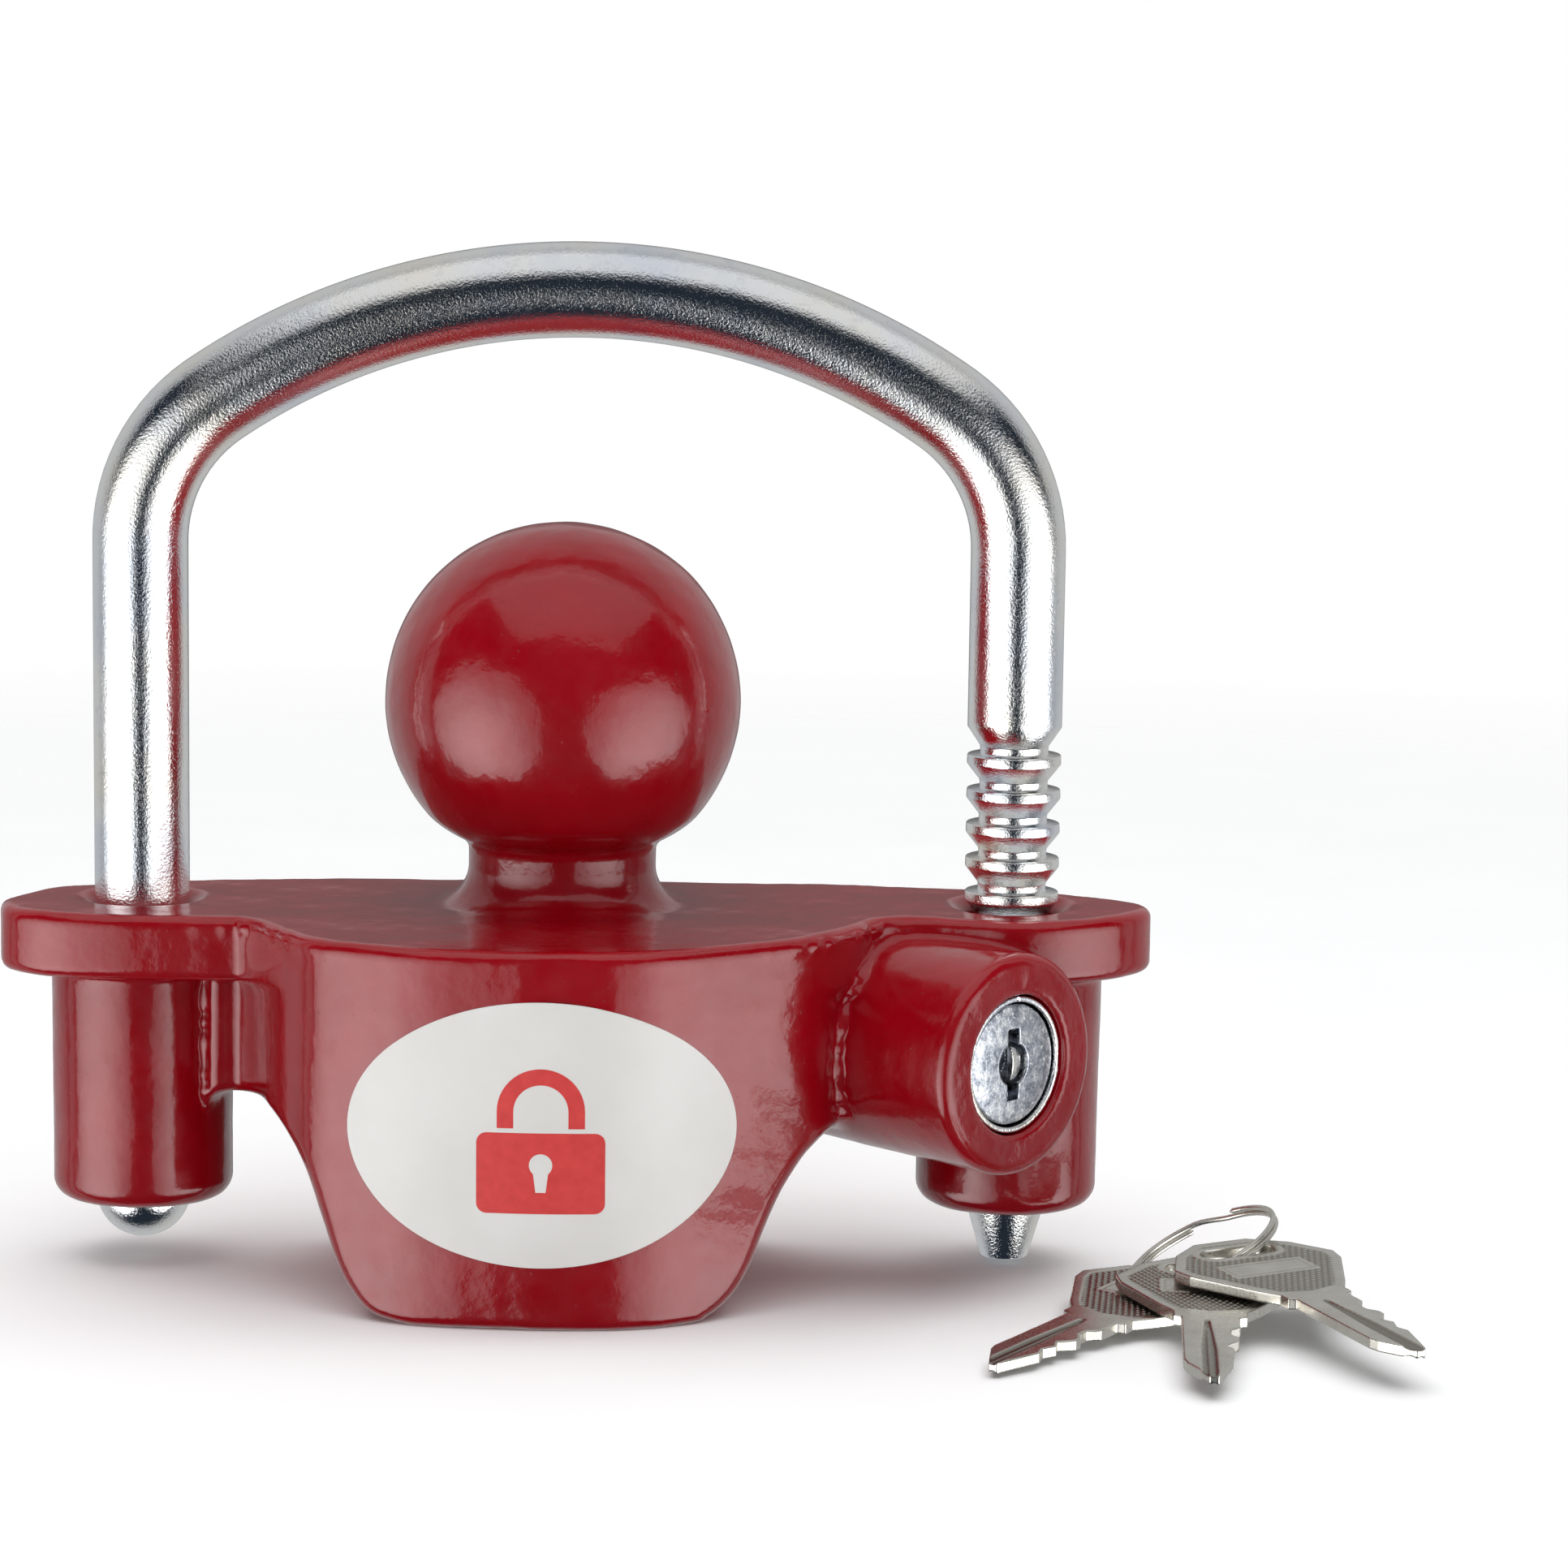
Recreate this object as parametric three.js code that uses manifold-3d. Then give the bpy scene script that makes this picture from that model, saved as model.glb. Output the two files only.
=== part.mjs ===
// Trailer coupler lock: a cast body whose ball fills the empty coupler socket, a U shackle with a
// ratchet leg that passes over the coupler, and a wafer lock that draws the bolt out of the ratchet.
// Units are millimetres, +Z is up and the origin is the centre of the ball. The drawing is made in
// "plate" heights, where z = 0 is the top of the plate, and the whole lock is lowered at the end.
import * as THREE from 'three';
import { mergeVertices } from 'three/addons/utils/BufferGeometryUtils.js';
import Module from 'manifold-3d';

const wasm = await Module();
wasm.setup();

// ---------------------------------------------------------------- driving dimensions

const BALL_R = 23.8; // 1-7/8 in ball, which also goes into 50 mm and 2 in sockets
const BALL_Z = 27.25; // centre above the plate
const NECK_R = 12.6;
const NECK_FOOT_R = 17.5; // where the neck's flare meets the plate
// the ball's underside leaves the sphere and runs in to the neck; the points are [radius, height]
const JAW = { leavesSphereDeg: -48, points: [[NECK_R, 6.4], [13.5, 7.4], [14.3, 8.6]] };

const PLATE_T = 8.7;
const SKIRT_BOTTOM = -49.5;
const SKIRT_DRAFT = 0.06; // share by which the skirt is shallower at its rim than at the plate
const SKIRT_MID_Y = -10;
const HOLLOW_TOP = -12;

const BAR_R = 6.35; // 1/2 in bar
const BAR_SIDES = 20;
const SHACKLE_MID_X = 2.15;
const LEG_HALF_GAP = 58.6; // half the distance between the two leg centrelines
const LEG_X = [SHACKLE_MID_X - LEG_HALF_GAP, SHACKLE_MID_X + LEG_HALF_GAP];
const LEG_TOP = 48; // where the bend starts
const BEND_R = 23;
const CROWN_TOP = 82; // centreline at the crown
const LEFT_TIP = -46.8;
const RIGHT_TIP = -48.6;
const TIP_CONE_TOP = -37.9;
const TIP_R = 3.2;

const RATCHET_PITCH = 4.65;
const RATCHET_FIRST = 19.15; // lower edge of the topmost band
const RATCHET_COUNT = 12;
const GROOVE_R = 4.6;
const BAND_H = 1.45;
const GROOVE_NECK_H = 1.05;

const SLEEVE_R = 12.4;
const SLEEVE_FOOT_R = 12.0;
const SLEEVE_BOTTOM = -40.8;
const LEG_HOLE_R = 6.75;
const COUNTERSINK_R = 8.6;

const LOCK_FACE = new THREE.Vector3(60.5, -25, -17.2); // centre of the lock boss's face
const BOSS_FACE_R = 14.7;
const BOSS_ROOT_R = 14.0;
const BOSS_LENGTH = 36;
const BORE_R = 9.35;
const BORE_DEPTH = 14.3;
const CHAMBER_R = 10.2; // room for the bolt's yoke
const CHAMBER_DEPTH = 20.4;
const REAR_BORE_R = 8.2;
const REAR_BORE_DEPTH = 29;

const BARREL_R = 9.05;
const PLUG_R = 8.0;
const CLEARANCE = 0.3;
const BARREL_DEPTHS = [0.8, 13.9];
const PLUG_DEPTHS = [1.0, 14.1];
const ECCENTRIC_R = 5.6;
const ECCENTRIC_THROW = 1.34; // the bolt moves throw x sqrt(2) in a quarter turn
const TAIL_R = 5.2;
const TAIL_END = 27.5;
const KEYWAY = { width: 2.2, faceHeight: 9.4, height: 8.0, depth: 24 };
const SHUTTER_POCKET = { r: 2.8, depth: 5.0 };
const SHUTTER = { depth: 1.75, r: 2.3, thick: 0.55, reach: 0.1 }; // reach: where the flap is cut off
const WAFERS = { count: 4, first: 5.5, pitch: 2.0, slot: 1.4, slotWidth: 7.0, thick: 0.8,
  width: 6.4, height: 14.4 };
const BUSH_DEPTHS = [20.9, 24.1];
const CLIP_DEPTHS = [24.7, 25.7];
const CLIP_GROOVE_R = 4.7;

const BOLT_THICK = 5.0;
const BOLT_HALF_H = 3.0;
const BOLT_FACE = -6.7; // from the leg's axis to the bolt's full section
const BOLT_TIP = -4.9; // from the leg's axis to the tip of the tooth
const BOLT_TOOTH = { low: 0.9, tipTop: 1.25 }; // heights above the lock's axis
const YOKE = { r: 7.9, window: 6.2, left: 1.1, play: 1.5, drop: -1.15 };
const SPRING = { r: 1.9, wire: 0.35, from: -12.3, turns: 4 };
const RETAINING_PIN = { r: 1.25, depth: 8, inner: 8.4, outer: 13.2 };

const LABEL = { x: -1.5, z: -23.6, halfWidth: 24.9, halfHeight: 17.4, thick: 0.5 };

const KEY = { length: 49, bowWidth: 24, bowLength: 23.5, bladeWidth: 7.4, thick: 1.5,
  slotLength: 11, slotWidth: 3.8, slotFromEnd: 4.8 };
const KEY_LEAN = THREE.MathUtils.degToRad(3);
const RING = { r: 10.5, radial: 1.2, axial: 1.6, tilt: THREE.MathUtils.degToRad(27) };
const KEY_SET_AT = { x: 86, y: -17, height: 5.8 }; // ring centre, height above the floor
const SLOT_INSET = 0.8; // the ring curves inwards as it passes through a slot, so a slot sits inside it
// for each key: where it hangs on the ring, and which way it points, from straight forward
const KEYS_ON_RING = [{ at: -29, points: -37 }, { at: -3, points: -5 }, { at: 25, points: 24 }];

// ---------------------------------------------------------------- materials

const paint = () => new THREE.MeshStandardMaterial({ color: 0xa80f1c, roughness: 0.28, metalness: 0.1 });
const zinc = () => new THREE.MeshStandardMaterial({ color: 0xc9ced3, roughness: 0.2, metalness: 1 });
const steel = () => new THREE.MeshStandardMaterial({ color: 0x8f9296, roughness: 0.4, metalness: 1 });
const brass = () => new THREE.MeshStandardMaterial({ color: 0xb99a55, roughness: 0.35, metalness: 1 });
const nickel = () => new THREE.MeshStandardMaterial({ color: 0xb9b5a8, roughness: 0.3, metalness: 1 });
const foil = () => new THREE.MeshStandardMaterial({ color: 0xdcdad5, roughness: 0.5, metalness: 0 });

// ---------------------------------------------------------------- solids

const TAU = 2 * Math.PI;
const v2 = (x, y) => new THREE.Vector2(x, y);

/** The enclosed volume, negative when the faces point inwards. */
function signedVolume(position, index) {
  const [a, b, c] = [new THREE.Vector3(), new THREE.Vector3(), new THREE.Vector3()];
  let total = 0;
  for (let i = 0; i < index.length; i += 3) {
    a.fromBufferAttribute(position, index[i]);
    b.fromBufferAttribute(position, index[i + 1]);
    c.fromBufferAttribute(position, index[i + 2]);
    total += a.dot(b.cross(c)) / 6;
  }
  return total;
}

/** A closed three.js geometry as a solid that can be joined and cut. */
function solid(geometry) {
  const bare = geometry.clone();
  bare.deleteAttribute('normal');
  bare.deleteAttribute('uv');
  const merged = mergeVertices(bare, 1e-4);
  const triVerts = new Uint32Array(merged.index.array);
  if (signedVolume(merged.attributes.position, triVerts) < 0) triVerts.reverse();
  const vertProperties = new Float32Array(merged.attributes.position.array);
  return new wasm.Manifold(new wasm.Mesh({ numProp: 3, vertProperties, triVerts }));
}

function join(...solids) {
  return solids.reduce((all, next) => all.add(next));
}

function named(name, shape, material) {
  const { vertProperties, triVerts } = shape.getMesh();
  const geometry = new THREE.BufferGeometry();
  geometry.setAttribute('position', new THREE.BufferAttribute(vertProperties, 3));
  geometry.setIndex(new THREE.BufferAttribute(triVerts, 1));
  geometry.computeVertexNormals();
  const mesh = new THREE.Mesh(geometry, material);
  mesh.name = name;
  return mesh;
}

/** A solid of revolution about +Z; the profile is [radius, height] pairs from axis to axis. */
function turned(profile, segments = 32) {
  const points = profile.map(([r, z]) => v2(r, z));
  return new THREE.LatheGeometry(points, segments).rotateX(Math.PI / 2);
}

/** A plain round bar about +Z between two heights. */
function bar(r, from, to, segments = 32) {
  return turned([[0, from], [r, from], [r, to], [0, to]], segments);
}

/** A ring about +Z with a rectangular section. */
function ring(inner, outer, from, to, segments = 32) {
  return turned([[inner, from], [outer, from], [outer, to], [inner, to], [inner, from]], segments);
}

/** An outline in plan, pulled down from one height to another. */
function slab(shape, from, to, curveSegments = 2) {
  const options = { depth: to - from, bevelEnabled: false, curveSegments };
  return new THREE.ExtrudeGeometry(shape, options).translate(0, 0, from);
}

/** An outline in front elevation (x, z), pulled through the depth of the lock. */
function frontPrism(shape, fromY, toY, curveSegments = 2) {
  const options = { depth: toY - fromY, bevelEnabled: false, curveSegments };
  return new THREE.ExtrudeGeometry(shape, options).rotateX(Math.PI / 2).translate(0, toY, 0);
}

function spline(...stretches) {
  const shape = new THREE.Shape();
  shape.moveTo(...stretches[0][0]);
  stretches.forEach((stretch, i) => {
    const points = i === 0 ? stretch.slice(1) : stretch;
    shape.splineThru(points.map(([x, y]) => v2(x, y)));
  });
  return shape;
}

function arcPoints(cx, cy, r, fromDeg, toDeg, steps) {
  return Array.from({ length: steps + 1 }, (_, i) => {
    const a = THREE.MathUtils.degToRad(fromDeg + ((toDeg - fromDeg) * i) / steps);
    return [cx + r * Math.cos(a), cy + r * Math.sin(a)];
  });
}

const polygon = (points) => new THREE.Shape(points.map(([x, y]) => v2(x, y)));

// ---------------------------------------------------------------- the lock's own axes

// out: out of the lock's face; side: towards the ratchet leg; up: +Z
const OUT = new THREE.Vector3(Math.SQRT1_2, -Math.SQRT1_2, 0);
const SIDE = new THREE.Vector3(Math.SQRT1_2, Math.SQRT1_2, 0);
const UP = new THREE.Vector3(0, 0, 1);

/** Takes (side, up, -depth) into the lock: local +Z comes out of the face. */
const LOCK_PLACE = new THREE.Matrix4().makeBasis(SIDE, UP, OUT).setPosition(LOCK_FACE);
const inLock = (geometry) => geometry.applyMatrix4(LOCK_PLACE);

/** How far the ratchet leg's axis lies to the side of the lock's axis, and how deep. */
const TO_LEG = new THREE.Vector3(LEG_X[1], 0, LOCK_FACE.z).sub(LOCK_FACE);
const LEG_SIDE = TO_LEG.dot(SIDE);
const LEG_DEPTH = -TO_LEG.dot(OUT);

/** A bar, ring or outline in the lock between two depths. */
const lockBar = (r, near, far, segments) => inLock(bar(r, -far, -near, segments));
const lockRing = (inner, outer, near, far, segments) => inLock(ring(inner, outer, -far, -near, segments));
const lockSlab = (shape, near, far, segments) => inLock(slab(shape, -far, -near, segments));

function lockBox(sides, ups, depths) {
  const size = [sides[1] - sides[0], ups[1] - ups[0], depths[1] - depths[0]];
  const box = new THREE.BoxGeometry(...size);
  box.translate((sides[0] + sides[1]) / 2, (ups[0] + ups[1]) / 2, -(depths[0] + depths[1]) / 2);
  return inLock(box);
}

/** A bar along the lock's side direction. */
function crossBar(r, fromSide, toSide, depth, segments = 20) {
  return inLock(bar(r, fromSide, toSide, segments).rotateY(Math.PI / 2).translate(0, 0, -depth));
}

// ---------------------------------------------------------------- cast body

const FRONT_BULGE = [[-42.2, -16.9], [-39.6, -19.6], [-34.4, -28.2], [-29.4, -33.9], [-18.8, -39.3],
  [-8.4, -41.2], [1.8, -41.5], [12.1, -39.9], [22.4, -34.8], [33, -27.5], [38.6, -20], [42, -14],
  [46, -11.9]];
const LEFT_LOBE_FRONT = [[-75, -3], [-73.6, -9.6], [-68, -14.3], [-59, -16.5], [-47, -16.9]];
const RIGHT_LOBE = [[50, -12.1], [54.9, -13.6], [60.2, -14.8], [66.5, -14], [73, -10.6],
  [77.8, -5.6], [79.6, -0.5], [77.2, 4.6]];
const BACK_EDGE = [[67.5, 9.8], [56.6, 12.9], [34.2, 15.8], [13.1, 16.8], [-13, 16.9], [-33.1, 16.2],
  [-50.8, 13.9], [-61, 11.2], [-70, 6.6], [-75, -3]];

function plateShape() {
  return spline([...LEFT_LOBE_FRONT, FRONT_BULGE[0]], FRONT_BULGE.slice(1), [...RIGHT_LOBE, ...BACK_EDGE]);
}

/** The skirt in plan: the plate's own bulge in front, swept into webs that reach the sleeves. */
function skirtShape(grow = 0) {
  const bulge = FRONT_BULGE.slice(2, -3);
  const outline = [[-47, 9], [-47, -8.5], [-42.6, -10.2], [-39.8, -14.5], [-37.6, -21.5], ...bulge,
    [37.6, -19.6], [40.4, -13.6], [44, -9.6], [48.5, -8], [48.5, 9], [36, 12.6], [13, 13.7],
    [-13, 13.7], [-36, 12.6]];
  const about = v2(0, SKIRT_MID_Y);
  const points = outline.map(([x, y]) => {
    const out = v2(x, y).sub(about).normalize().multiplyScalar(grow);
    return v2(x, y).add(out);
  });
  const shape = new THREE.Shape();
  shape.moveTo(points[0].x, points[0].y);
  shape.splineThru(points.slice(1));
  return shape;
}

/** The skirt from in front: webs down to the arches, then sides that run in to a rounded foot. */
function skirtElevation() {
  return spline(
    [[-48, 0], [-48, -26.8], [-45.6, -25.1], [-42, -24.8], [-37.6, -25.2], [-34.4, -27.6],
      [-32, -31.5], [-30.1, -36.5], [-28.2, -42], [-26, -46], [-23, -48.6], [-18, SKIRT_BOTTOM]],
    [[15, SKIRT_BOTTOM], [20, -48.8], [23.4, -46.2], [25.6, -42.6], [27.6, -37.6], [30, -32.6],
      [33.4, -28.4], [38, -26.6], [49, -26.4], [49, 0]],
  );
}

/** Makes a prism shallower from the plate's underside to the skirt's rim, as the draft does. */
function drafted(geometry) {
  const position = geometry.attributes.position;
  for (let i = 0; i < position.count; i += 1) {
    const k = 1 - (SKIRT_DRAFT * (position.getZ(i) + PLATE_T)) / (SKIRT_BOTTOM + PLATE_T);
    position.setY(i, SKIRT_MID_Y + (position.getY(i) - SKIRT_MID_Y) * k);
  }
  return geometry;
}

/** The skirt's wall is upright beside the plate, just inside its edge, and drafted below it. */
function skirt(grow = 0) {
  const upper = solid(slab(skirtShape(grow - 0.02), -PLATE_T - 0.01, -1.8));
  const lower = solid(drafted(slab(skirtShape(grow), SKIRT_BOTTOM, -PLATE_T)));
  return upper.add(lower).intersect(solid(frontPrism(skirtElevation(), -60, 30)));
}

function underside() {
  const plan = polygon([[-30, 7.5], [-31, -12], [-27.5, -24.5], [-19, -32.5], [-9, -35.4], [1, -35.8],
    [10, -34.2], [18, -29.5], [22, -23], [22.5, 7.5]]);
  const side = polygon([[-20, SKIRT_BOTTOM - 1], [-24, -40], [-26.5, -31], [-30.5, -25], [-31, HOLLOW_TOP],
    [24, HOLLOW_TOP], [24, -31], [21.5, -40], [18, SKIRT_BOTTOM - 1]]);
  return solid(slab(plan, SKIRT_BOTTOM - 1, HOLLOW_TOP)).intersect(solid(frontPrism(side, -60, 30)));
}

function ballAndNeck() {
  const flareR = NECK_FOOT_R - NECK_R;
  const flare = arcPoints(NECK_R + flareR, flareR, flareR, -90, -180, 4);
  const sphere = arcPoints(0, BALL_Z, BALL_R, JAW.leavesSphereDeg, 90, 14);
  sphere[sphere.length - 1][0] = 0;
  const profile = [[0, -6], [NECK_FOOT_R, -6], [NECK_FOOT_R, flare[0][1]], ...flare.slice(1),
    ...JAW.points, ...sphere];
  return solid(turned(profile, 34));
}

function sleeve(x, r) {
  const round = arcPoints(r - 2.2, SLEEVE_BOTTOM + 2.2, 2.2, -90, 0, 3);
  const profile = [[0, SLEEVE_BOTTOM], ...round, [r + 0.2, -6], [0, -6]];
  return solid(turned(profile, 30).translate(x, 0, 0));
}

function boss() {
  const round = 1.7;
  const rim = arcPoints(BOSS_FACE_R - round, -round, round, 0, 90, 3);
  const profile = [[0, -BOSS_LENGTH], [BOSS_ROOT_R, -BOSS_LENGTH], ...rim, [0, 0]];
  return solid(inLock(turned(profile, 34)));
}

function legHole(x) {
  const profile = [[0, SLEEVE_BOTTOM - 2], [LEG_HOLE_R, SLEEVE_BOTTOM - 2], [LEG_HOLE_R, -1.9],
    [COUNTERSINK_R, 0.6], [0, 0.6]];
  return solid(turned(profile, 28).translate(x, 0, 0));
}

/** Everything that is bored out of the boss: barrel seat, yoke chamber, bolt slot, spring hole. */
function lockBores() {
  const halfBolt = BOLT_THICK / 2 + CLEARANCE;
  const boltHalfH = BOLT_HALF_H + CLEARANCE;
  return join(
    solid(lockBar(BORE_R, -1, BORE_DEPTH + 0.1, 36)),
    solid(lockBar(CHAMBER_R, BORE_DEPTH, CHAMBER_DEPTH, 36)),
    solid(lockBar(REAR_BORE_R, CHAMBER_DEPTH - 0.1, REAR_BORE_DEPTH, 32)),
    solid(lockBox([0, LEG_SIDE], [-boltHalfH, boltHalfH], [LEG_DEPTH - halfBolt, LEG_DEPTH + halfBolt])),
    solid(crossBar(SPRING.r + 0.6, SPRING.from - CLEARANCE, -6, LEG_DEPTH, 16)),
    solid(retainingBar(RETAINING_PIN.r + CLEARANCE, RETAINING_PIN.inner - 1, BOSS_FACE_R + 2)),
  );
}

/** A bar that points down from the lock's axis, at the retaining pin's depth. */
function retainingBar(r, near, far) {
  return inLock(bar(r, near, far, 16).rotateX(Math.PI / 2).translate(0, 0, -RETAINING_PIN.depth));
}

function plate() {
  const edge = 1.4;
  const options = { depth: PLATE_T - 2 * edge, bevelEnabled: true, bevelSegments: 2, bevelSize: edge,
    bevelThickness: edge, bevelOffset: -edge, curveSegments: 2 };
  return solid(new THREE.ExtrudeGeometry(plateShape(), options).translate(0, 0, edge - PLATE_T));
}

function castBody() {
  const outside = join(plate(), skirt(), ballAndNeck(), sleeve(LEG_X[0], SLEEVE_FOOT_R + 0.2),
    sleeve(LEG_X[1], SLEEVE_R), boss());
  const holes = join(underside(), lockBores(), legHole(LEG_X[0]), legHole(LEG_X[1]));
  return named('body_casting', outside.subtract(holes), paint());
}

function frontLabel() {
  const oval = new THREE.Shape();
  oval.absellipse(LABEL.x, LABEL.z, LABEL.halfWidth, LABEL.halfHeight, 0, TAU);
  const shell = skirt(CLEARANCE + LABEL.thick).subtract(skirt(CLEARANCE));
  return named('front_label', shell.intersect(solid(frontPrism(oval, -60, -25, 18))), foil());
}

// ---------------------------------------------------------------- shackle

/** A path through stations, each a point and a direction; a sweep gets one section at each. */
class StationPath extends THREE.Curve {
  constructor(stations) {
    super();
    this.stations = stations;
  }

  getPoint(t, target = new THREE.Vector3()) {
    const at = Math.min(Math.max(t, 0), 1) * (this.stations.length - 1);
    const i = Math.min(Math.floor(at), this.stations.length - 2);
    return target.lerpVectors(this.stations[i].point, this.stations[i + 1].point, at - i);
  }

  getTangent(t, target = new THREE.Vector3()) {
    return target.copy(this.stations[Math.round(t * (this.stations.length - 1))].along);
  }

  getUtoTmapping(u) {
    return u;
  }
}

/** Stations on an arc in the shackle's plane, by angle from +X towards +Z, run clockwise. */
function arcStations(cx, cz, r, from, to, steps) {
  return Array.from({ length: steps + 1 }, (_, i) => {
    const a = from + ((to - from) * i) / steps;
    return {
      point: new THREE.Vector3(cx + r * Math.cos(a), 0, cz + r * Math.sin(a)),
      along: new THREE.Vector3(Math.sin(a), 0, -Math.cos(a)),
    };
  });
}

/** Centreline of the U: two legs, two bends and a crown arc that touches both bends. */
function shacklePath() {
  const [left, right] = LEG_X;
  const inset = LEG_HALF_GAP - BEND_R;
  const rise = CROWN_TOP - LEG_TOP;
  // the crown circle touches the bend circles: inset^2 + (rise - R)^2 = (R - BEND_R)^2
  const crownR = (inset ** 2 + rise ** 2 - BEND_R ** 2) / (2 * (rise - BEND_R));
  const crownZ = CROWN_TOP - crownR;
  const touch = Math.atan2(LEG_TOP - crownZ, inset);
  const foot = (x, z, up) => ({ point: new THREE.Vector3(x, 0, z), along: new THREE.Vector3(0, 0, up) });
  return new StationPath([
    foot(left, LEFT_TIP + BAR_R, 1),
    ...arcStations(left + BEND_R, LEG_TOP, BEND_R, Math.PI, Math.PI - touch, 5),
    ...arcStations(SHACKLE_MID_X, crownZ, crownR, Math.PI - touch, touch, 12).slice(1),
    ...arcStations(right - BEND_R, LEG_TOP, BEND_R, touch, 0, 5).slice(1),
    foot(right, RIGHT_TIP, -1),
  ]);
}

/** What is turned away from the ratchet leg: the sawtooth grooves and the tapered end. */
function ratchetCut() {
  const outside = BAR_R + 2;
  const clear = BAR_R + 0.2;
  const profile = [[outside, RATCHET_FIRST + BAND_H + 6], [clear, RATCHET_FIRST + BAND_H + 3.4],
    [GROOVE_R, RATCHET_FIRST + BAND_H + GROOVE_NECK_H], [GROOVE_R, RATCHET_FIRST + BAND_H],
    [clear, RATCHET_FIRST + BAND_H]];
  for (let i = 0; i < RATCHET_COUNT; i += 1) {
    const bandFoot = RATCHET_FIRST - i * RATCHET_PITCH;
    const nextTop = bandFoot - RATCHET_PITCH + BAND_H;
    const neckTop = nextTop + GROOVE_NECK_H;
    profile.push([clear, bandFoot], [GROOVE_R, neckTop], [GROOVE_R, nextTop], [clear, nextTop]);
  }
  profile.push([clear, TIP_CONE_TOP], [TIP_R, RIGHT_TIP], [TIP_R, RIGHT_TIP - 1],
    [outside, RIGHT_TIP - 1], profile[0]);
  return solid(turned(profile, BAR_SIDES).translate(LEG_X[1], 0, 0));
}

function shackle() {
  const section = new THREE.Shape();
  section.absarc(0, 0, BAR_R, 0, TAU);
  const extrudePath = shacklePath();
  const options = { steps: extrudePath.stations.length - 1, extrudePath, curveSegments: BAR_SIDES / 2,
    bevelEnabled: false };
  const rod = solid(new THREE.ExtrudeGeometry(section, options));
  const dome = arcPoints(0, LEFT_TIP + BAR_R, BAR_R, -90, 0, 5);
  dome[0][0] = 0;
  const end = turned([...dome, [BAR_R, LEFT_TIP + BAR_R + 0.5], [0, LEFT_TIP + BAR_R + 0.5]], BAR_SIDES);
  const shape = rod.add(solid(end.translate(LEG_X[0], 0, 0))).subtract(ratchetCut());
  return named('shackle', shape, zinc());
}

// ---------------------------------------------------------------- lock cylinder

function keywaySlot(near, far, height) {
  return solid(lockBox([-KEYWAY.width / 2, KEYWAY.width / 2], [-height / 2, height / 2], [near, far]));
}

function waferSlot(i) {
  const near = WAFERS.first + i * WAFERS.pitch;
  const half = WAFERS.slotWidth / 2;
  return solid(lockBox([-half, half], [-PLUG_R - 1, PLUG_R + 1], [near, near + WAFERS.slot]));
}

/** The eccentric's centre at rest, a quarter turn's worth below the side direction. */
const ECCENTRIC_AT = [ECCENTRIC_THROW * Math.SQRT1_2, -ECCENTRIC_THROW * Math.SQRT1_2];

function plug() {
  const eccentric = bar(ECCENTRIC_R, -CHAMBER_DEPTH, -PLUG_DEPTHS[1] + 0.1, 32);
  const whole = join(
    solid(lockBar(PLUG_R, PLUG_DEPTHS[0], PLUG_DEPTHS[1], 40)),
    solid(inLock(eccentric.translate(...ECCENTRIC_AT, 0))),
    solid(lockBar(TAIL_R, CHAMBER_DEPTH - 0.1, TAIL_END, 28)),
  );
  const [clipNear, clipFar] = [CLIP_DEPTHS[0] - CLEARANCE, CLIP_DEPTHS[1] + CLEARANCE];
  const groove = solid(lockRing(CLIP_GROOVE_R, TAIL_R + 1, clipNear, clipFar, 28));
  const cuts = join(
    groove,
    keywaySlot(0, 3, KEYWAY.faceHeight),
    keywaySlot(2, KEYWAY.depth, KEYWAY.height),
    solid(lockBar(SHUTTER_POCKET.r, 0, SHUTTER_POCKET.depth, 24)),
    ...Array.from({ length: WAFERS.count }, (_, i) => waferSlot(i)),
  );
  return named('plug', whole.subtract(cuts), zinc());
}

function wafer(i) {
  const [w, h] = [WAFERS.width / 2, WAFERS.height / 2];
  const corner = 1.2;
  const outline = polygon([
    ...arcPoints(w - corner, h - corner, corner, 0, 90, 3),
    ...arcPoints(-w + corner, h - corner, corner, 90, 180, 3),
    ...arcPoints(-w + corner, -h + corner, corner, 180, 270, 3),
    ...arcPoints(w - corner, -h + corner, corner, 270, 360, 3),
  ]);
  const gate = [KEYWAY.width / 2 + 0.1, KEYWAY.height / 2 - 0.3 * (i % 2)];
  outline.holes.push(new THREE.Path([v2(-gate[0], -gate[1]), v2(-gate[0], gate[1]),
    v2(gate[0], gate[1]), v2(gate[0], -gate[1])]));
  const near = WAFERS.first + i * WAFERS.pitch + (WAFERS.slot - WAFERS.thick) / 2;
  return named(`wafer_${i + 1}`, solid(lockSlab(outline, near, near + WAFERS.thick)), brass());
}

function barrel() {
  const [near, far] = BARREL_DEPTHS;
  const [inner, chamfer] = [PLUG_R + CLEARANCE, 0.35];
  const profile = [[inner, -far], [BARREL_R, -far], [BARREL_R, -near - chamfer],
    [BARREL_R - chamfer, -near], [inner, -near], [inner, -far]];
  const tube = solid(inLock(turned(profile, 40)));
  const pinHole = solid(retainingBar(RETAINING_PIN.r + CLEARANCE, inner - 1, BARREL_R + 2));
  return named('lock_barrel', tube.subtract(pinHole), zinc());
}

function retainingPin() {
  const pin = retainingBar(RETAINING_PIN.r, RETAINING_PIN.inner, RETAINING_PIN.outer);
  return named('barrel_retaining_pin', solid(pin), steel());
}

function rearBush() {
  const bush = lockRing(TAIL_R + CLEARANCE, REAR_BORE_R - CLEARANCE, ...BUSH_DEPTHS, 32);
  return named('rear_bush', solid(bush), brass());
}

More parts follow.
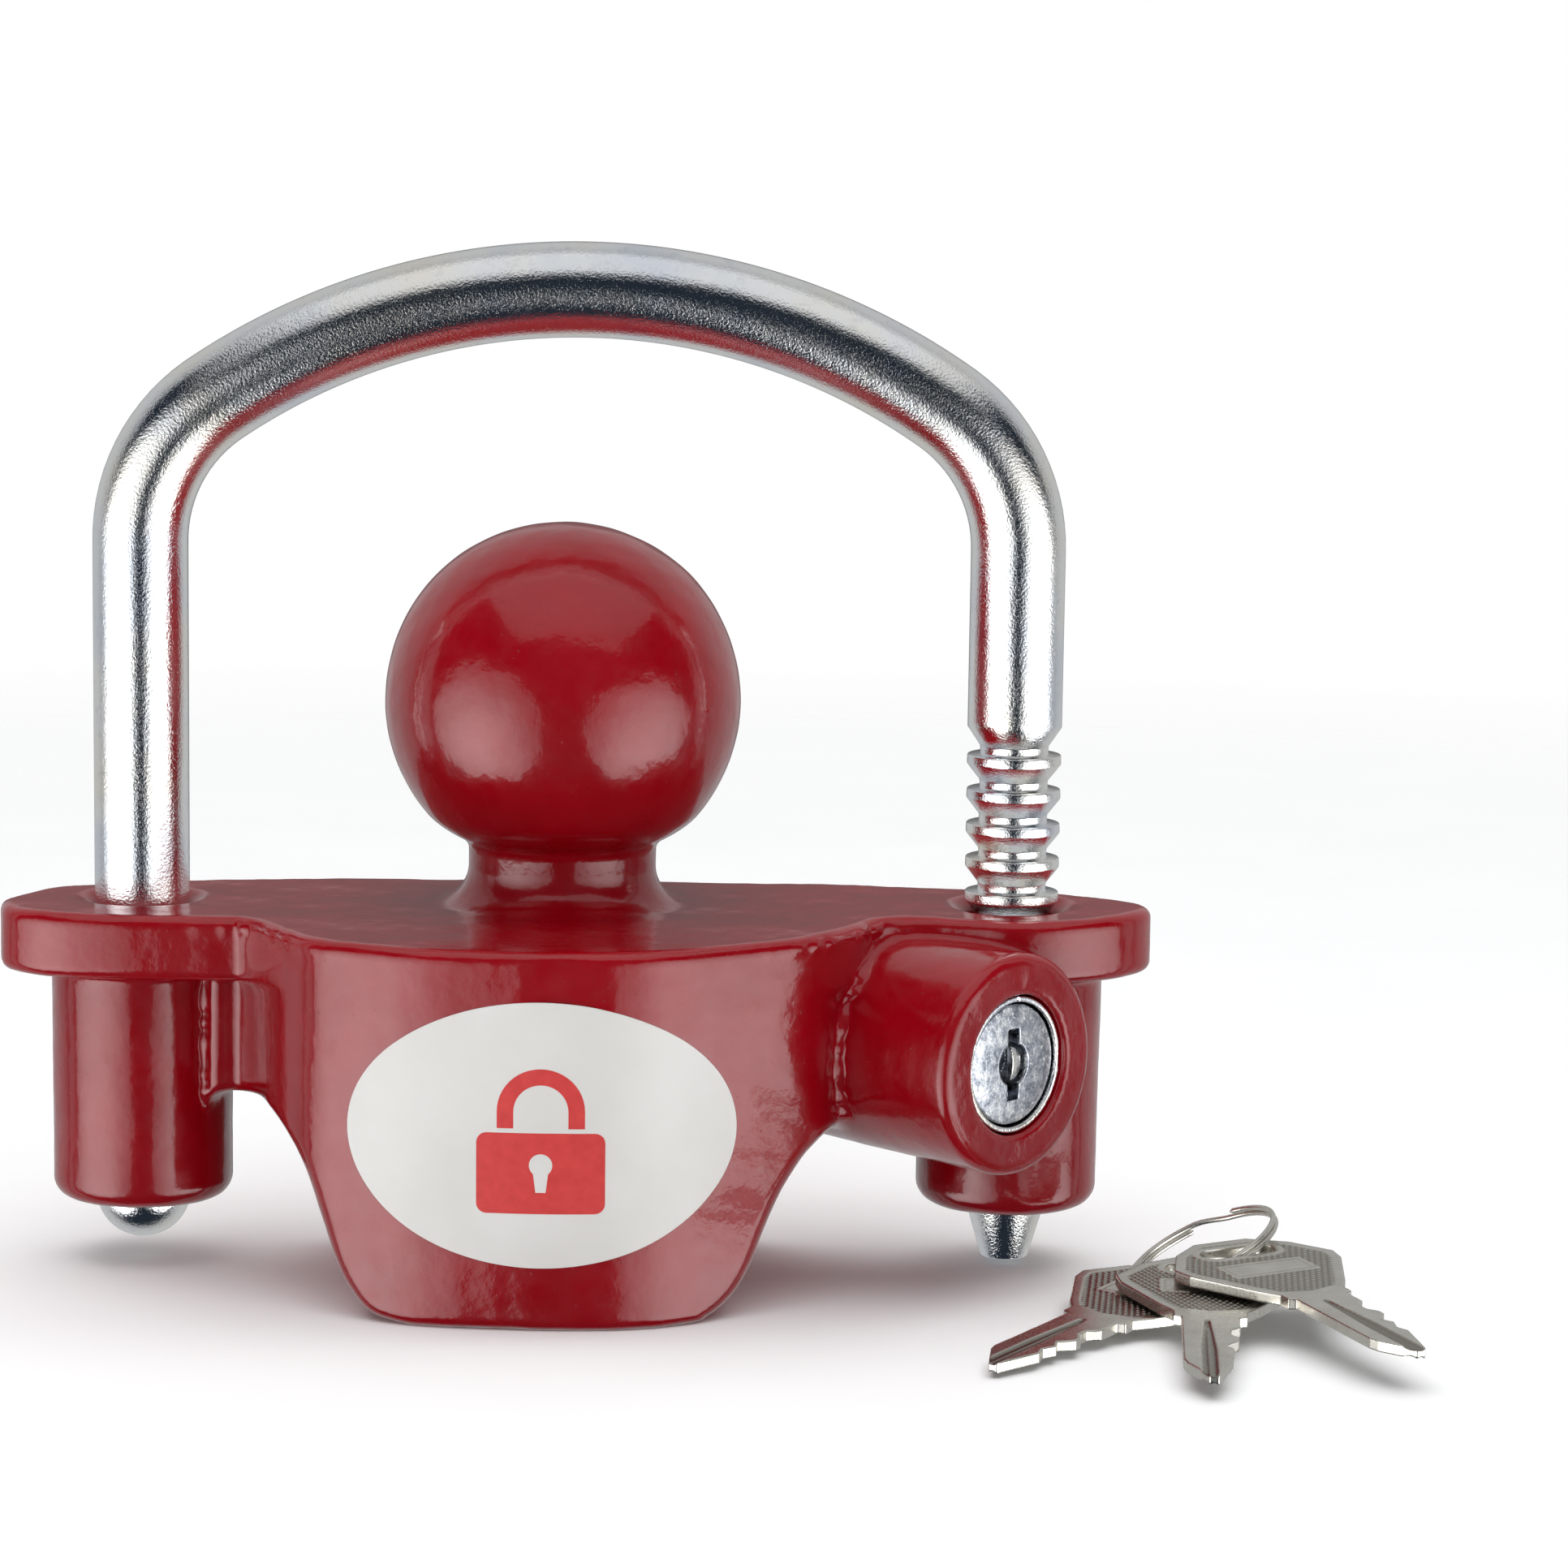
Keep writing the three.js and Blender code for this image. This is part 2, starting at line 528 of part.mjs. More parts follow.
/** An open spring ring that sits in the tail's groove behind the bush. */
function retainingClip() {
  const [inner, outer] = [CLIP_GROOVE_R + CLEARANCE, 7.2];
  const gap = [[0, -1.6], [9, -1.6], [9, 1.6], [0, 1.6]];
  const cut = solid(lockSlab(polygon(gap), CLIP_DEPTHS[0] - 1, CLIP_DEPTHS[1] + 1));
  const clip = solid(lockRing(inner, outer, ...CLIP_DEPTHS, 28)).subtract(cut);
  return named('retaining_clip', clip, steel());
}

/** The sprung dust shutter behind the key slot: a domed flap that swings in about its outer edge. */
function shutter() {
  const { r, thick, depth, reach } = SHUTTER;
  const crown = [[r, -0.2], [r * 0.7, 0.22], [r * 0.35, 0.42], [0, 0.48]];
  const dome = turned([[0, -thick], [r, -thick], ...crown], 24);
  const flap = solid(inLock(dome.translate(0, 0, -depth)));
  const trim = solid(lockBox([-5, reach], [-5, 5], [depth - 2, depth + 2]));
  return named('dust_shutter', flap.subtract(trim), zinc());
}

// ---------------------------------------------------------------- bolt

function bolt() {
  const { r, window, left, play, drop } = YOKE;
  const right = left + play;
  const face = LEG_SIDE + BOLT_FACE;
  const tip = LEG_SIDE + BOLT_TIP;
  const near = LEG_DEPTH - BOLT_THICK / 2;
  const far = LEG_DEPTH + BOLT_THICK / 2;
  const stadium = (radius, steps) => polygon([
    ...arcPoints(left, drop, radius, 90, 270, steps),
    ...arcPoints(right, drop, radius, -90, 90, steps),
  ]);
  const yoke = solid(lockSlab(stadium(r, 14), near, far))
    .intersect(solid(lockBar(CHAMBER_R - 0.4, near - 1, far + 1, 36)));
  const tooth = polygon([[4, -BOLT_HALF_H], [face, -BOLT_HALF_H], [face, BOLT_TOOTH.low],
    [tip, BOLT_TOOTH.low], [tip, BOLT_TOOTH.tipTop], [tip - 1.25, BOLT_HALF_H], [4, BOLT_HALF_H]]);
  const shape = yoke.add(solid(lockSlab(tooth, near, far)))
    .subtract(solid(lockSlab(stadium(window, 14), near - 1, far + 1)));
  return named('latch_bolt', shape, steel());
}

/** The coil that pushes the bolt into the ratchet, held between the boss wall and the yoke. */
function latchSpring() {
  const end = YOKE.left - YOKE.r - CLEARANCE;
  const length = end - SPRING.wire - (SPRING.from + SPRING.wire);
  const coilR = SPRING.r - SPRING.wire;
  class Coil extends THREE.Curve {
    getPoint(t, target = new THREE.Vector3()) {
      const a = TAU * SPRING.turns * t;
      const along = SPRING.from + SPRING.wire + length * t;
      return target.set(along, coilR * Math.cos(a), coilR * Math.sin(a) - LEG_DEPTH);
    }
  }
  const section = new THREE.Shape();
  section.absarc(0, 0, SPRING.wire, 0, TAU);
  const options = { steps: 12 * SPRING.turns, extrudePath: new Coil(), curveSegments: 3,
    bevelEnabled: false };
  return named('latch_spring', solid(inLock(new THREE.ExtrudeGeometry(section, options))), steel());
}

// ---------------------------------------------------------------- keys

/** A key's flat outline: the ring slot's centre is at the origin and the tip points along -Y. */
function keyOutline() {
  const { length, bowWidth, bowLength, bladeWidth, slotFromEnd } = KEY;
  const top = slotFromEnd;
  const tip = top - length;
  const [w, b] = [bowWidth / 2, bladeWidth / 2];
  const neck = top - bowLength;
  const cuts = [[b, neck - 6], [b - 1.3, neck - 7.4], [b - 1.3, neck - 9], [b - 0.3, neck - 10.4],
    [b - 0.3, neck - 11.6], [b - 1.9, neck - 13.4], [b - 1.0, neck - 15], [b - 1.8, neck - 17],
    [b - 1.2, neck - 18.6]];
  return polygon([
    [w - 8, top], [w - 3.4, top - 3.4], [w, top - 9], [w - 0.6, top - 12], [w - 5.5, neck + 2.6],
    [b + 1, neck], [b + 1, neck - 1.8], [b, neck - 2.2], ...cuts, [0.6, tip], [-0.6, tip],
    [-b + 0.4, tip + 4.6], [-b, tip + 6], [-b, neck - 2.2], [-b - 1, neck - 1.8], [-b - 1, neck],
    [-w + 5.5, neck + 2.6], [-w + 0.6, top - 12], [-w, top - 9], [-w + 3.4, top - 3.4], [-w + 8, top],
  ]);
}

function keyPlate() {
  const { slotLength, slotWidth, thick } = KEY;
  const outline = keyOutline();
  const reach = (slotLength - slotWidth) / 2;
  outline.holes.push(new THREE.Path([
    ...arcPoints(-reach, 0, slotWidth / 2, 90, 270, 8),
    ...arcPoints(reach, 0, slotWidth / 2, -90, 90, 8),
  ].map(([x, y]) => v2(x, y))));
  return slab(outline, -thick / 2, thick / 2);
}

/** The key set's own frame: it leans forward, with the ring's centre at its origin. */
const KEY_SET_PLACE = new THREE.Matrix4()
  .makeTranslation(KEY_SET_AT.x, KEY_SET_AT.y, SKIRT_BOTTOM + KEY_SET_AT.height)
  .multiply(new THREE.Matrix4().makeRotationX(KEY_LEAN));

function key(i) {
  const at = THREE.MathUtils.degToRad(KEYS_ON_RING[i].at);
  const points = THREE.MathUtils.degToRad(KEYS_ON_RING[i].points);
  const r = RING.r - SLOT_INSET;
  const [s, c] = [r * Math.sin(at), r * Math.cos(at)];
  const geometry = keyPlate().rotateZ(points)
    .translate(s * Math.cos(RING.tilt), -c, s * Math.sin(RING.tilt))
    .applyMatrix4(KEY_SET_PLACE);
  return named(`key_${i + 1}`, solid(geometry), nickel());
}

function keyRing() {
  const [half, r] = [RING.axial / 2, RING.radial / 2];
  const geometry = ring(RING.r - r, RING.r + r, -half, half, 48)
    .rotateY(-RING.tilt).applyMatrix4(KEY_SET_PLACE);
  return named('key_ring', solid(geometry), nickel());
}

// ---------------------------------------------------------------- the assembly

const lock = new THREE.Group();
lock.add(castBody(), frontLabel(), shackle(), barrel(), retainingPin(), plug(), shutter());
for (let i = 0; i < WAFERS.count; i += 1) lock.add(wafer(i));
lock.add(rearBush(), retainingClip(), bolt(), latchSpring(), keyRing());
for (let i = 0; i < KEYS_ON_RING.length; i += 1) lock.add(key(i));
lock.position.z = -BALL_Z;

export default lock;
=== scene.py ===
"""A trailer coupler lock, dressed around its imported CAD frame.

The big red casting is one field of distances with fillets, turned into a mesh and settled on to the
field, so that it has the soft, slightly uneven skin of a painted casting. The shackle, the spring and the
key ring are swept, the lock's other visible parts and the keys are fields of their own, and the label is
laid over the casting. Drawings are in millimetres with z = 0 on the plate's top, as in the CAD, and
become metres in the frame's axes at the end.
"""

import math

import bpy
import numpy as np
from mathutils import Matrix, Vector
from mathutils.geometry import delaunay_2d_cdt


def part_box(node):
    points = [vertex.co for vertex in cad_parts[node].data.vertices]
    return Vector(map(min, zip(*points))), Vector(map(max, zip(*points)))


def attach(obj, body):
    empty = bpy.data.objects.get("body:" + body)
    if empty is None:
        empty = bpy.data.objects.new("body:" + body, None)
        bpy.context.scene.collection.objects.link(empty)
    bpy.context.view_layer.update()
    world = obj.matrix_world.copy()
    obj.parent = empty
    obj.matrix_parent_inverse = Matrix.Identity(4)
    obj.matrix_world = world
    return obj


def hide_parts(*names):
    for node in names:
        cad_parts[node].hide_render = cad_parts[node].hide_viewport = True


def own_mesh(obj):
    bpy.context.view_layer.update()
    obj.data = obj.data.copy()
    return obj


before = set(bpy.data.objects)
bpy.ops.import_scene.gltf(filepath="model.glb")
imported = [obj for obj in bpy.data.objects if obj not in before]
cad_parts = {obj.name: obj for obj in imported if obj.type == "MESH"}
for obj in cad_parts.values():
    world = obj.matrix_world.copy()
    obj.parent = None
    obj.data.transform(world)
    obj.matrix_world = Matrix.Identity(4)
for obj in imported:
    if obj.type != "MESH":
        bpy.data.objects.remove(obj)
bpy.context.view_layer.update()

# ------------ driving dimensions, as in the CAD but for a front bulge that is a little rounder

MM = 0.001
BALL_R = 23.8
BALL_Z = 27.25
NECK_R = 12.6
NECK_FLARE = 4.9
JAW = {"r": 15.7, "z": 9.4, "slope": math.radians(22)}  # where the ball's underside is cut off

PLATE_T = 8.7
PLATE_EDGE = 1.5
SKIRT_BOTTOM = -49.5
SKIRT_DRAFT = 0.06
SKIRT_MID_Y = -10.0
HOLLOW_TOP = -12.0

BAR_R = 6.35
SHACKLE_MID_X = 2.15
LEG_HALF_GAP = 58.6
LEG_X = (SHACKLE_MID_X - LEG_HALF_GAP, SHACKLE_MID_X + LEG_HALF_GAP)
LEG_TOP = 48.0
BEND_R = 23.0
CROWN_TOP = 82.0
LEFT_TIP = -46.8
RIGHT_TIP = -48.6
TIP_CONE_TOP = -37.9
TIP_R = 3.2

RATCHET_PITCH = 4.65
RATCHET_FIRST = 19.15
RATCHET_COUNT = 12
GROOVE_R = 4.6
BAND_H = 1.45
GROOVE_NECK_H = 1.05
GROOVE_LEAD = 2.6  # the cone down to the first groove

SLEEVE_R = (12.2, 12.4)
SLEEVE_BOTTOM = -40.8
LEG_HOLE_R = 6.75

LOCK_FACE = np.array([60.5, -25.0, -17.2])
OUT = np.array([1.0, -1.0, 0.0]) / math.sqrt(2)
SIDE = np.array([1.0, 1.0, 0.0]) / math.sqrt(2)
UP = np.array([0.0, 0.0, 1.0])
BOSS_FACE_R = 14.7
BOSS_ROOT_R = 14.0
BOSS_LENGTH = 36.0
BORE_R = 9.35
BORE_DEPTH = 14.3
CHAMBER_R = 10.2
CHAMBER_DEPTH = 20.4
REAR_BORE_R = 8.2
REAR_BORE_DEPTH = 29.0
TO_LEG = np.array([LEG_X[1], 0, LOCK_FACE[2]]) - LOCK_FACE
LEG_SIDE, LEG_DEPTH = float(TO_LEG @ SIDE), -float(TO_LEG @ OUT)
CLEARANCE = 0.3

BARREL_R = 9.05
BARREL_DEPTHS = (0.8, 13.9)
BARREL_DOT = {"side": 0.4, "up": 8.66, "r": 0.26}
PLUG_R = 8.0
PLUG_DEPTHS = (1.0, 14.1)
ECCENTRIC_R = 5.6
ECCENTRIC_THROW = 1.34
TAIL_R = 5.2
TAIL_END = 27.5
KEYWAY = {"width": 2.2, "face": 9.4, "height": 8.0, "depth": 24.0}
POCKET = {"r": 2.8, "depth": 5.0}
SHUTTER = {"depth": 1.75, "r": 2.3, "thick": 0.55, "reach": 0.1}
WAFERS = {"count": 4, "first": 5.5, "pitch": 2.0, "slot": 1.4, "half": 3.5}
CLIP_GROOVE = {"depths": (24.4, 26.0), "r": 4.7}
PIN = {"r": 1.25, "depth": 8.0}
BOLT = {"half_thick": 2.5, "half_h": 3.0}
SPRING = {"r": 1.9, "wire": 0.35, "start": -12.3, "end": -7.1, "turns": 4}

LABEL = {"x": -1.5, "z": -23.6, "half_width": 24.9, "half_height": 17.4, "thick": 0.16}

KEY = {"length": 49.0, "bow_width": 24.0, "bow_length": 23.5, "blade": 7.4, "thick": 1.5,
       "slot_length": 11.0, "slot_width": 3.8, "top": 4.8}
KNURL = {"depth": 0.17, "pitch": 0.92, "border": 1.25, "slot_border": 0.9}
TAG = {"y": -7.6, "half_width": 6.1, "half_height": 2.5}
KEY_LEAN = math.radians(3)
RING_R = 10.5
RING_TILT = math.radians(27)
KEY_SET_AT = (86.0, -17.0, SKIRT_BOTTOM + 5.8)
KEY_SET = Matrix.Translation(KEY_SET_AT) @ Matrix.Rotation(KEY_LEAN, 4, "X")
SLOT_INSET = 0.8
KEYS_ON_RING = ((-29, -37), (-3, -5), (25, 24))  # degrees: place on the ring, way the key points

FRONT_BULGE = [(-42.2, -16.9), (-39.6, -19.6), (-34.4, -28.2), (-29.4, -33.9), (-18.8, -39.2),
               (-8.4, -41.2), (1.8, -41.8), (12.1, -40.4), (22.4, -35.0), (33, -27.5), (38.6, -20),
               (42, -14), (46, -11.9)]
LEFT_LOBE_FRONT = [(-75, -3), (-73.6, -9.6), (-68, -14.3), (-59, -16.5), (-47, -16.9)]
RIGHT_LOBE = [(50, -12.1), (54.9, -13.6), (60.2, -14.8), (66.5, -14), (73, -10.6), (77.8, -5.6),
              (79.6, -0.5), (77.2, 4.6)]
BACK_EDGE = [(67.5, 9.8), (56.6, 12.9), (34.2, 15.8), (13.1, 16.8), (-13, 16.9), (-33.1, 16.2),
             (-50.8, 13.9), (-61, 11.2), (-70, 6.6), (-75, -3)]
SKIRT_PLAN = ([(-47, 9), (-47, -8.5), (-42.6, -10.2), (-39.8, -14.5), (-37.6, -21.5)]
              + FRONT_BULGE[2:-3]
              + [(37.6, -19.6), (40.4, -13.6), (44, -9.6), (48.5, -8), (48.5, 9), (36, 12.6),
                 (13, 13.7), (-13, 13.7), (-36, 12.6)])
SKIRT_LEFT_SIDE = [(-48, -3), (-48, -26.8), (-45.6, -25.1), (-42, -24.8), (-37.6, -25.2), (-34.4, -27.6),
                   (-32, -31.5), (-30.1, -36.5), (-28.2, -42), (-26, -46), (-23, -48.6),
                   (-18, SKIRT_BOTTOM)]
SKIRT_RIGHT_SIDE = [(15, SKIRT_BOTTOM), (20, -48.8), (23.4, -46.2), (25.6, -42.6), (27.6, -37.6),
                    (30, -32.6), (33.4, -28.4), (38, -26.6), (49, -26.4), (49, -3)]
HOLLOW_PLAN = [(-30, 7.5), (-31, -12), (-27.5, -24.5), (-19, -32.5), (-9, -35.4), (1, -35.8),
               (10, -34.2), (18, -29.5), (22, -23), (22.5, 7.5)]
HOLLOW_SIDE = [(-20, SKIRT_BOTTOM - 8), (-24, -40), (-26.5, -31), (-30.5, -25), (-31, HOLLOW_TOP),
               (24, HOLLOW_TOP), (24, -31), (21.5, -40), (18, SKIRT_BOTTOM - 8)]


# ------------ outlines

def spline(points, steps=14):
    """A smooth curve through points, with no overshoot past its two ends."""
    p = np.array([points[0], *points, points[-1]], float)
    t = np.linspace(0, 1, steps, endpoint=False)[:, None]
    stretches = []
    for a, b, c, d in zip(p[:-3], p[1:-2], p[2:-1], p[3:]):
        into, out = (c - a) / 2, (d - b) / 2
        stretches.append((2 * b - 2 * c + into + out) * t ** 3
                         + (-3 * b + 3 * c - 2 * into - out) * t ** 2 + into * t + b)
    return np.vstack([*stretches, p[-1:]])


def arc(cx, cy, r, start, end, steps):
    """Points on an arc, between two angles in degrees."""
    a = np.radians(np.linspace(start, end, steps + 1))
    return np.column_stack([cx + r * np.cos(a), cy + r * np.sin(a)])


def outline_distance(points, u, v):
    """Distance to a closed outline, negative inside it."""
    nearest = np.full(u.shape, 1e9)
    inside = np.zeros(u.shape, bool)
    for (ax, ay), (bx, by) in zip(points, np.roll(points, -1, axis=0)):
        ex, ey = bx - ax, by - ay
        if ex * ex + ey * ey < 1e-12:
            continue
        px, py = u - ax, v - ay
        t = np.clip((px * ex + py * ey) / (ex * ex + ey * ey), 0, 1)
        nearest = np.minimum(nearest, (px - t * ex) ** 2 + (py - t * ey) ** 2)
        if ay != by:
            inside ^= ((ay > v) != (by > v)) & (px < ex * py / ey)
    return np.where(inside, -1, 1) * np.sqrt(nearest)


class Outline:
    """A closed outline whose distances are worked out once on a grid and then read between its points."""

    def __init__(self, points, step=0.4, margin=8.0):
        points = np.asarray(points, float)
        self.low = points.min(0) - margin
        self.step = step
        count = np.ceil((points.max(0) + margin - self.low) / step).astype(int) + 1
        u, v = np.meshgrid(*(self.low[k] + step * np.arange(count[k]) for k in (0, 1)), indexing="ij")
        self.table = outline_distance(points, u, v)

    def __call__(self, u, v):
        u = np.clip((u - self.low[0]) / self.step, 0, self.table.shape[0] - 1.001)
        v = np.clip((v - self.low[1]) / self.step, 0, self.table.shape[1] - 1.001)
        i, j = u.astype(int), v.astype(int)
        u, v = u - i, v - j
        t = self.table
        near = t[i, j] * (1 - u) + t[i + 1, j] * u
        far = t[i, j + 1] * (1 - u) + t[i + 1, j + 1] * u
        return near * (1 - v) + far * v


# ------------ fields of distances

def union(a, b, fillet=0.0):
    """Two solids together, with a fillet where they meet; the fillet may differ from point to point."""
    return (np.maximum(fillet, np.minimum(a, b))
            - np.hypot(np.maximum(fillet - a, 0), np.maximum(fillet - b, 0)))


def common(a, b, edge=0.0):
    """What two solids share, with its edge rounded."""
    return -union(-a, -b, edge)


def cut(a, b, edge=0.0):
    """The first solid without the second."""
    return -union(-a, b, edge)


def between(x, low, high):
    return np.abs(x - (low + high) / 2) - (high - low) / 2


def ease(x, low, high):
    """0 below low, 1 above high and smooth between them."""
    t = np.clip((x - low) / (high - low), 0, 1)
    return t * t * (3 - 2 * t)


def lumps(p, size, seed):
    """A smooth uneven surface with hills about size across, from -1 to 1."""
    total = np.zeros(len(p))
    rng = np.random.default_rng(seed)
    for _ in range(7):
        way = rng.normal(size=3)
        way *= math.tau / (size * rng.uniform(0.7, 1.6)) / np.linalg.norm(way)
        total += np.sin(p @ way + rng.uniform(0, math.tau))
    return total / 4


def slopes(field, p, reach):
    """The field's gradient from four nearby points."""
    corners = np.array([(1, -1, -1), (-1, -1, 1), (-1, 1, -1), (1, 1, 1)], float)
    total = sum(corner * field(p + corner * reach)[:, None] for corner in corners)
    return total / (4 * reach)


def settle(field, p, reach, rounds=2):
    """Moves points on to the field's surface."""
    for _ in range(rounds):
        slope = slopes(field, p, reach)
        steep = np.maximum((slope ** 2).sum(1), 0.2)
        p = p - slope * (np.clip(field(p), -reach * 3, reach * 3) / steep)[:, None]
    return p


def sampled(field, low, count, step, block=4):
    """The field on a grid; blocks far from the surface keep their middle's value."""
    blocks = count // block
    middle = [low[k] + step * (block * np.arange(blocks[k]) + (block - 1) / 2) for k in range(3)]
    centres = np.stack(np.meshgrid(*middle, indexing="ij"), -1).reshape(-1, 3)
    coarse = field(centres)
    near = np.flatnonzero(np.abs(coarse) < block * step * 1.15)
    inner = (np.arange(block) - (block - 1) / 2) * step
    offsets = np.stack(np.meshgrid(inner, inner, inner, indexing="ij"), -1).reshape(-1, 3)
    values = np.repeat(coarse, block ** 3).reshape(-1, block ** 3)
    for part in np.array_split(near, max(1, len(near) // 8000)):
        points = centres[part][:, None, :] + offsets[None]
        values[part] = field(points.reshape(-1, 3)).reshape(len(part), -1)
    grid = values.reshape(*blocks, block, block, block).transpose(0, 3, 1, 4, 2, 5)
    return grid.reshape(count)


def surface(field, low, high, step):
    """Vertices and quads on the field's surface inside a box, one vertex for each cell that it crosses."""
    low = np.array(low, float) - 2 * step
    count = (np.ceil((np.array(high) + 2 * step - low) / step / 4).astype(int) + 1) * 4
    grid = sampled(field, low, count, step)
    inside = grid < 0
    corners = np.array([(i, j, k) for i in (0, 1) for j in (0, 1) for k in (0, 1)])
    held = sum(inside[i:count[0] - 1 + i, j:count[1] - 1 + j, k:count[2] - 1 + k].astype(np.int8)
               for i, j, k in corners)
    cells = np.argwhere((held > 0) & (held < 8))
    values = np.stack([grid[tuple((cells + c).T)] for c in corners], 1)
    total, crossings = np.zeros(cells.shape), np.zeros(len(cells))
    for a in range(8):
        for axis in range(3):
            if corners[a][axis]:
                continue
            b = a + (4, 2, 1)[axis]
            crossed = (values[:, a] < 0) != (values[:, b] < 0)
            share = values[crossed, a] / (values[crossed, a] - values[crossed, b])
            total[crossed] += corners[a] + share[:, None] * (corners[b] - corners[a])
            crossings[crossed] += 1
    points = low + step * (cells + total / crossings[:, None])
    number = np.full(count - 1, -1)
    number[tuple(cells.T)] = np.arange(len(cells))
    quads = []
    for axis in range(3):
        nxt, last = (axis + 1) % 3, (axis + 2) % 3
        here = [slice(1, -1)] * 3
        there = list(here)
        here[axis], there[axis] = slice(0, -1), slice(1, None)
        solid, beyond = inside[tuple(here)], inside[tuple(there)]
        for out_of, order in ((solid & ~beyond, (0, 1, 2, 3)), (~solid & beyond, (3, 2, 1, 0))):
            at = np.argwhere(out_of) + np.array([int(k != axis) for k in range(3)])
            b, c = np.eye(3, dtype=int)[nxt], np.eye(3, dtype=int)[last]
            around = [at - b - c, at - c, at, at - b]
            quads.append(np.stack([number[tuple(around[k].T)] for k in order], 1))
    return settle(field, points, step * 0.7), np.vstack(quads).tolist()


def in_lock(p):
    """Side, up and depth in the lock's own axes."""
    q = p - LOCK_FACE
    return q @ SIDE, q[:, 2], -(q @ OUT)


# ------------ meshes

def to_frame(points):
    """From the drawing's millimetres to the frame's metres."""
    return (np.asarray(points, float) - (0, 0, BALL_Z)) * MM


def from_frame(points):
    """From the frame's metres to the drawing's millimetres."""
    return np.asarray(points, float) / MM + (0, 0, BALL_Z)


def add_object(name, data):
    made = bpy.data.objects.new(name, data)
    bpy.context.scene.collection.objects.link(made)
    return made


def piece(name, points, faces, material, body, sharp=None):
    """A mesh piece in the frame, smooth but for edges sharper than sharp degrees."""
    mesh = bpy.data.meshes.new(name)
    mesh.from_pydata(to_frame(points).tolist(), [], faces)
    mesh.shade_smooth()
    if sharp:
        mesh.set_sharp_from_angle(angle=math.radians(sharp))
    mesh.materials.append(material)
    made = add_object(name, mesh)
    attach(made, body)
    return made


def tube(centres, normals, binormals, radii, sides):
    """Rings round a path with a fan at each end, as vertices and faces."""
    angle = np.linspace(0, math.tau, sides, endpoint=False)[None, :, None]
    ring = np.cos(angle) * normals[:, None, :] + np.sin(angle) * binormals[:, None, :]
    points = (centres[:, None, :] + radii[:, None, None] * ring).reshape(-1, 3)
    count = len(centres)
    start, end = count * sides, count * sides + 1
    points = np.vstack([points, centres[:1], centres[-1:]])
    faces = []
    for i in range(count - 1):
        for k in range(sides):
            n = (k + 1) % sides
            faces.append((i * sides + k, i * sides + n, (i + 1) * sides + n, (i + 1) * sides + k))
    last = (count - 1) * sides
    for k in range(sides):
        n = (k + 1) % sides
        faces.append((start, n, k))
        faces.append((end, last + k, last + n))
    return points, faces


def rounded(profile, r, steps=3):
    """A polyline of (height, radius) with its corners rounded."""
    p = np.array(profile, float)
    out = [p[0]]
    for a, b, c in zip(p[:-2], p[1:-1], p[2:]):
        into, away = b - a, c - b
        reach = min(r, 0.45 * np.hypot(*into), 0.45 * np.hypot(*away))
        start = b - into / np.hypot(*into) * reach
        end = b + away / np.hypot(*away) * reach
        for t in np.linspace(0, 1, steps + 1):
            out.append((1 - t) ** 2 * start + 2 * t * (1 - t) * b + t * t * end)
    return np.array([*out, p[-1]])


# ------------ materials

def feed(tree, socket, value):
    """Joins another node's output to a socket, or sets the socket to a plain value."""
    if isinstance(value, bpy.types.NodeSocket):
        tree.links.new(value, socket)
    else:
        socket.default_value = value


def add_node(tree, kind, **inputs):
    """A new node with inputs fed by name."""
    node = tree.nodes.new("ShaderNode" + kind)
    for key, value in inputs.items():
        feed(tree, node.inputs[key.replace("_", " ")], value)
    return node


def ramp(tree, value, stops):
    """Colours at places from 0 to 1 along a value."""
    node = add_node(tree, "ValToRGB", Fac=value)
    elements = node.color_ramp.elements
    while len(elements) < len(stops):
        elements.new(0.5)
    for element, (place, colour) in zip(elements, stops):
        element.position = place
        element.color = (*colour, 1)
    return node.outputs["Color"]


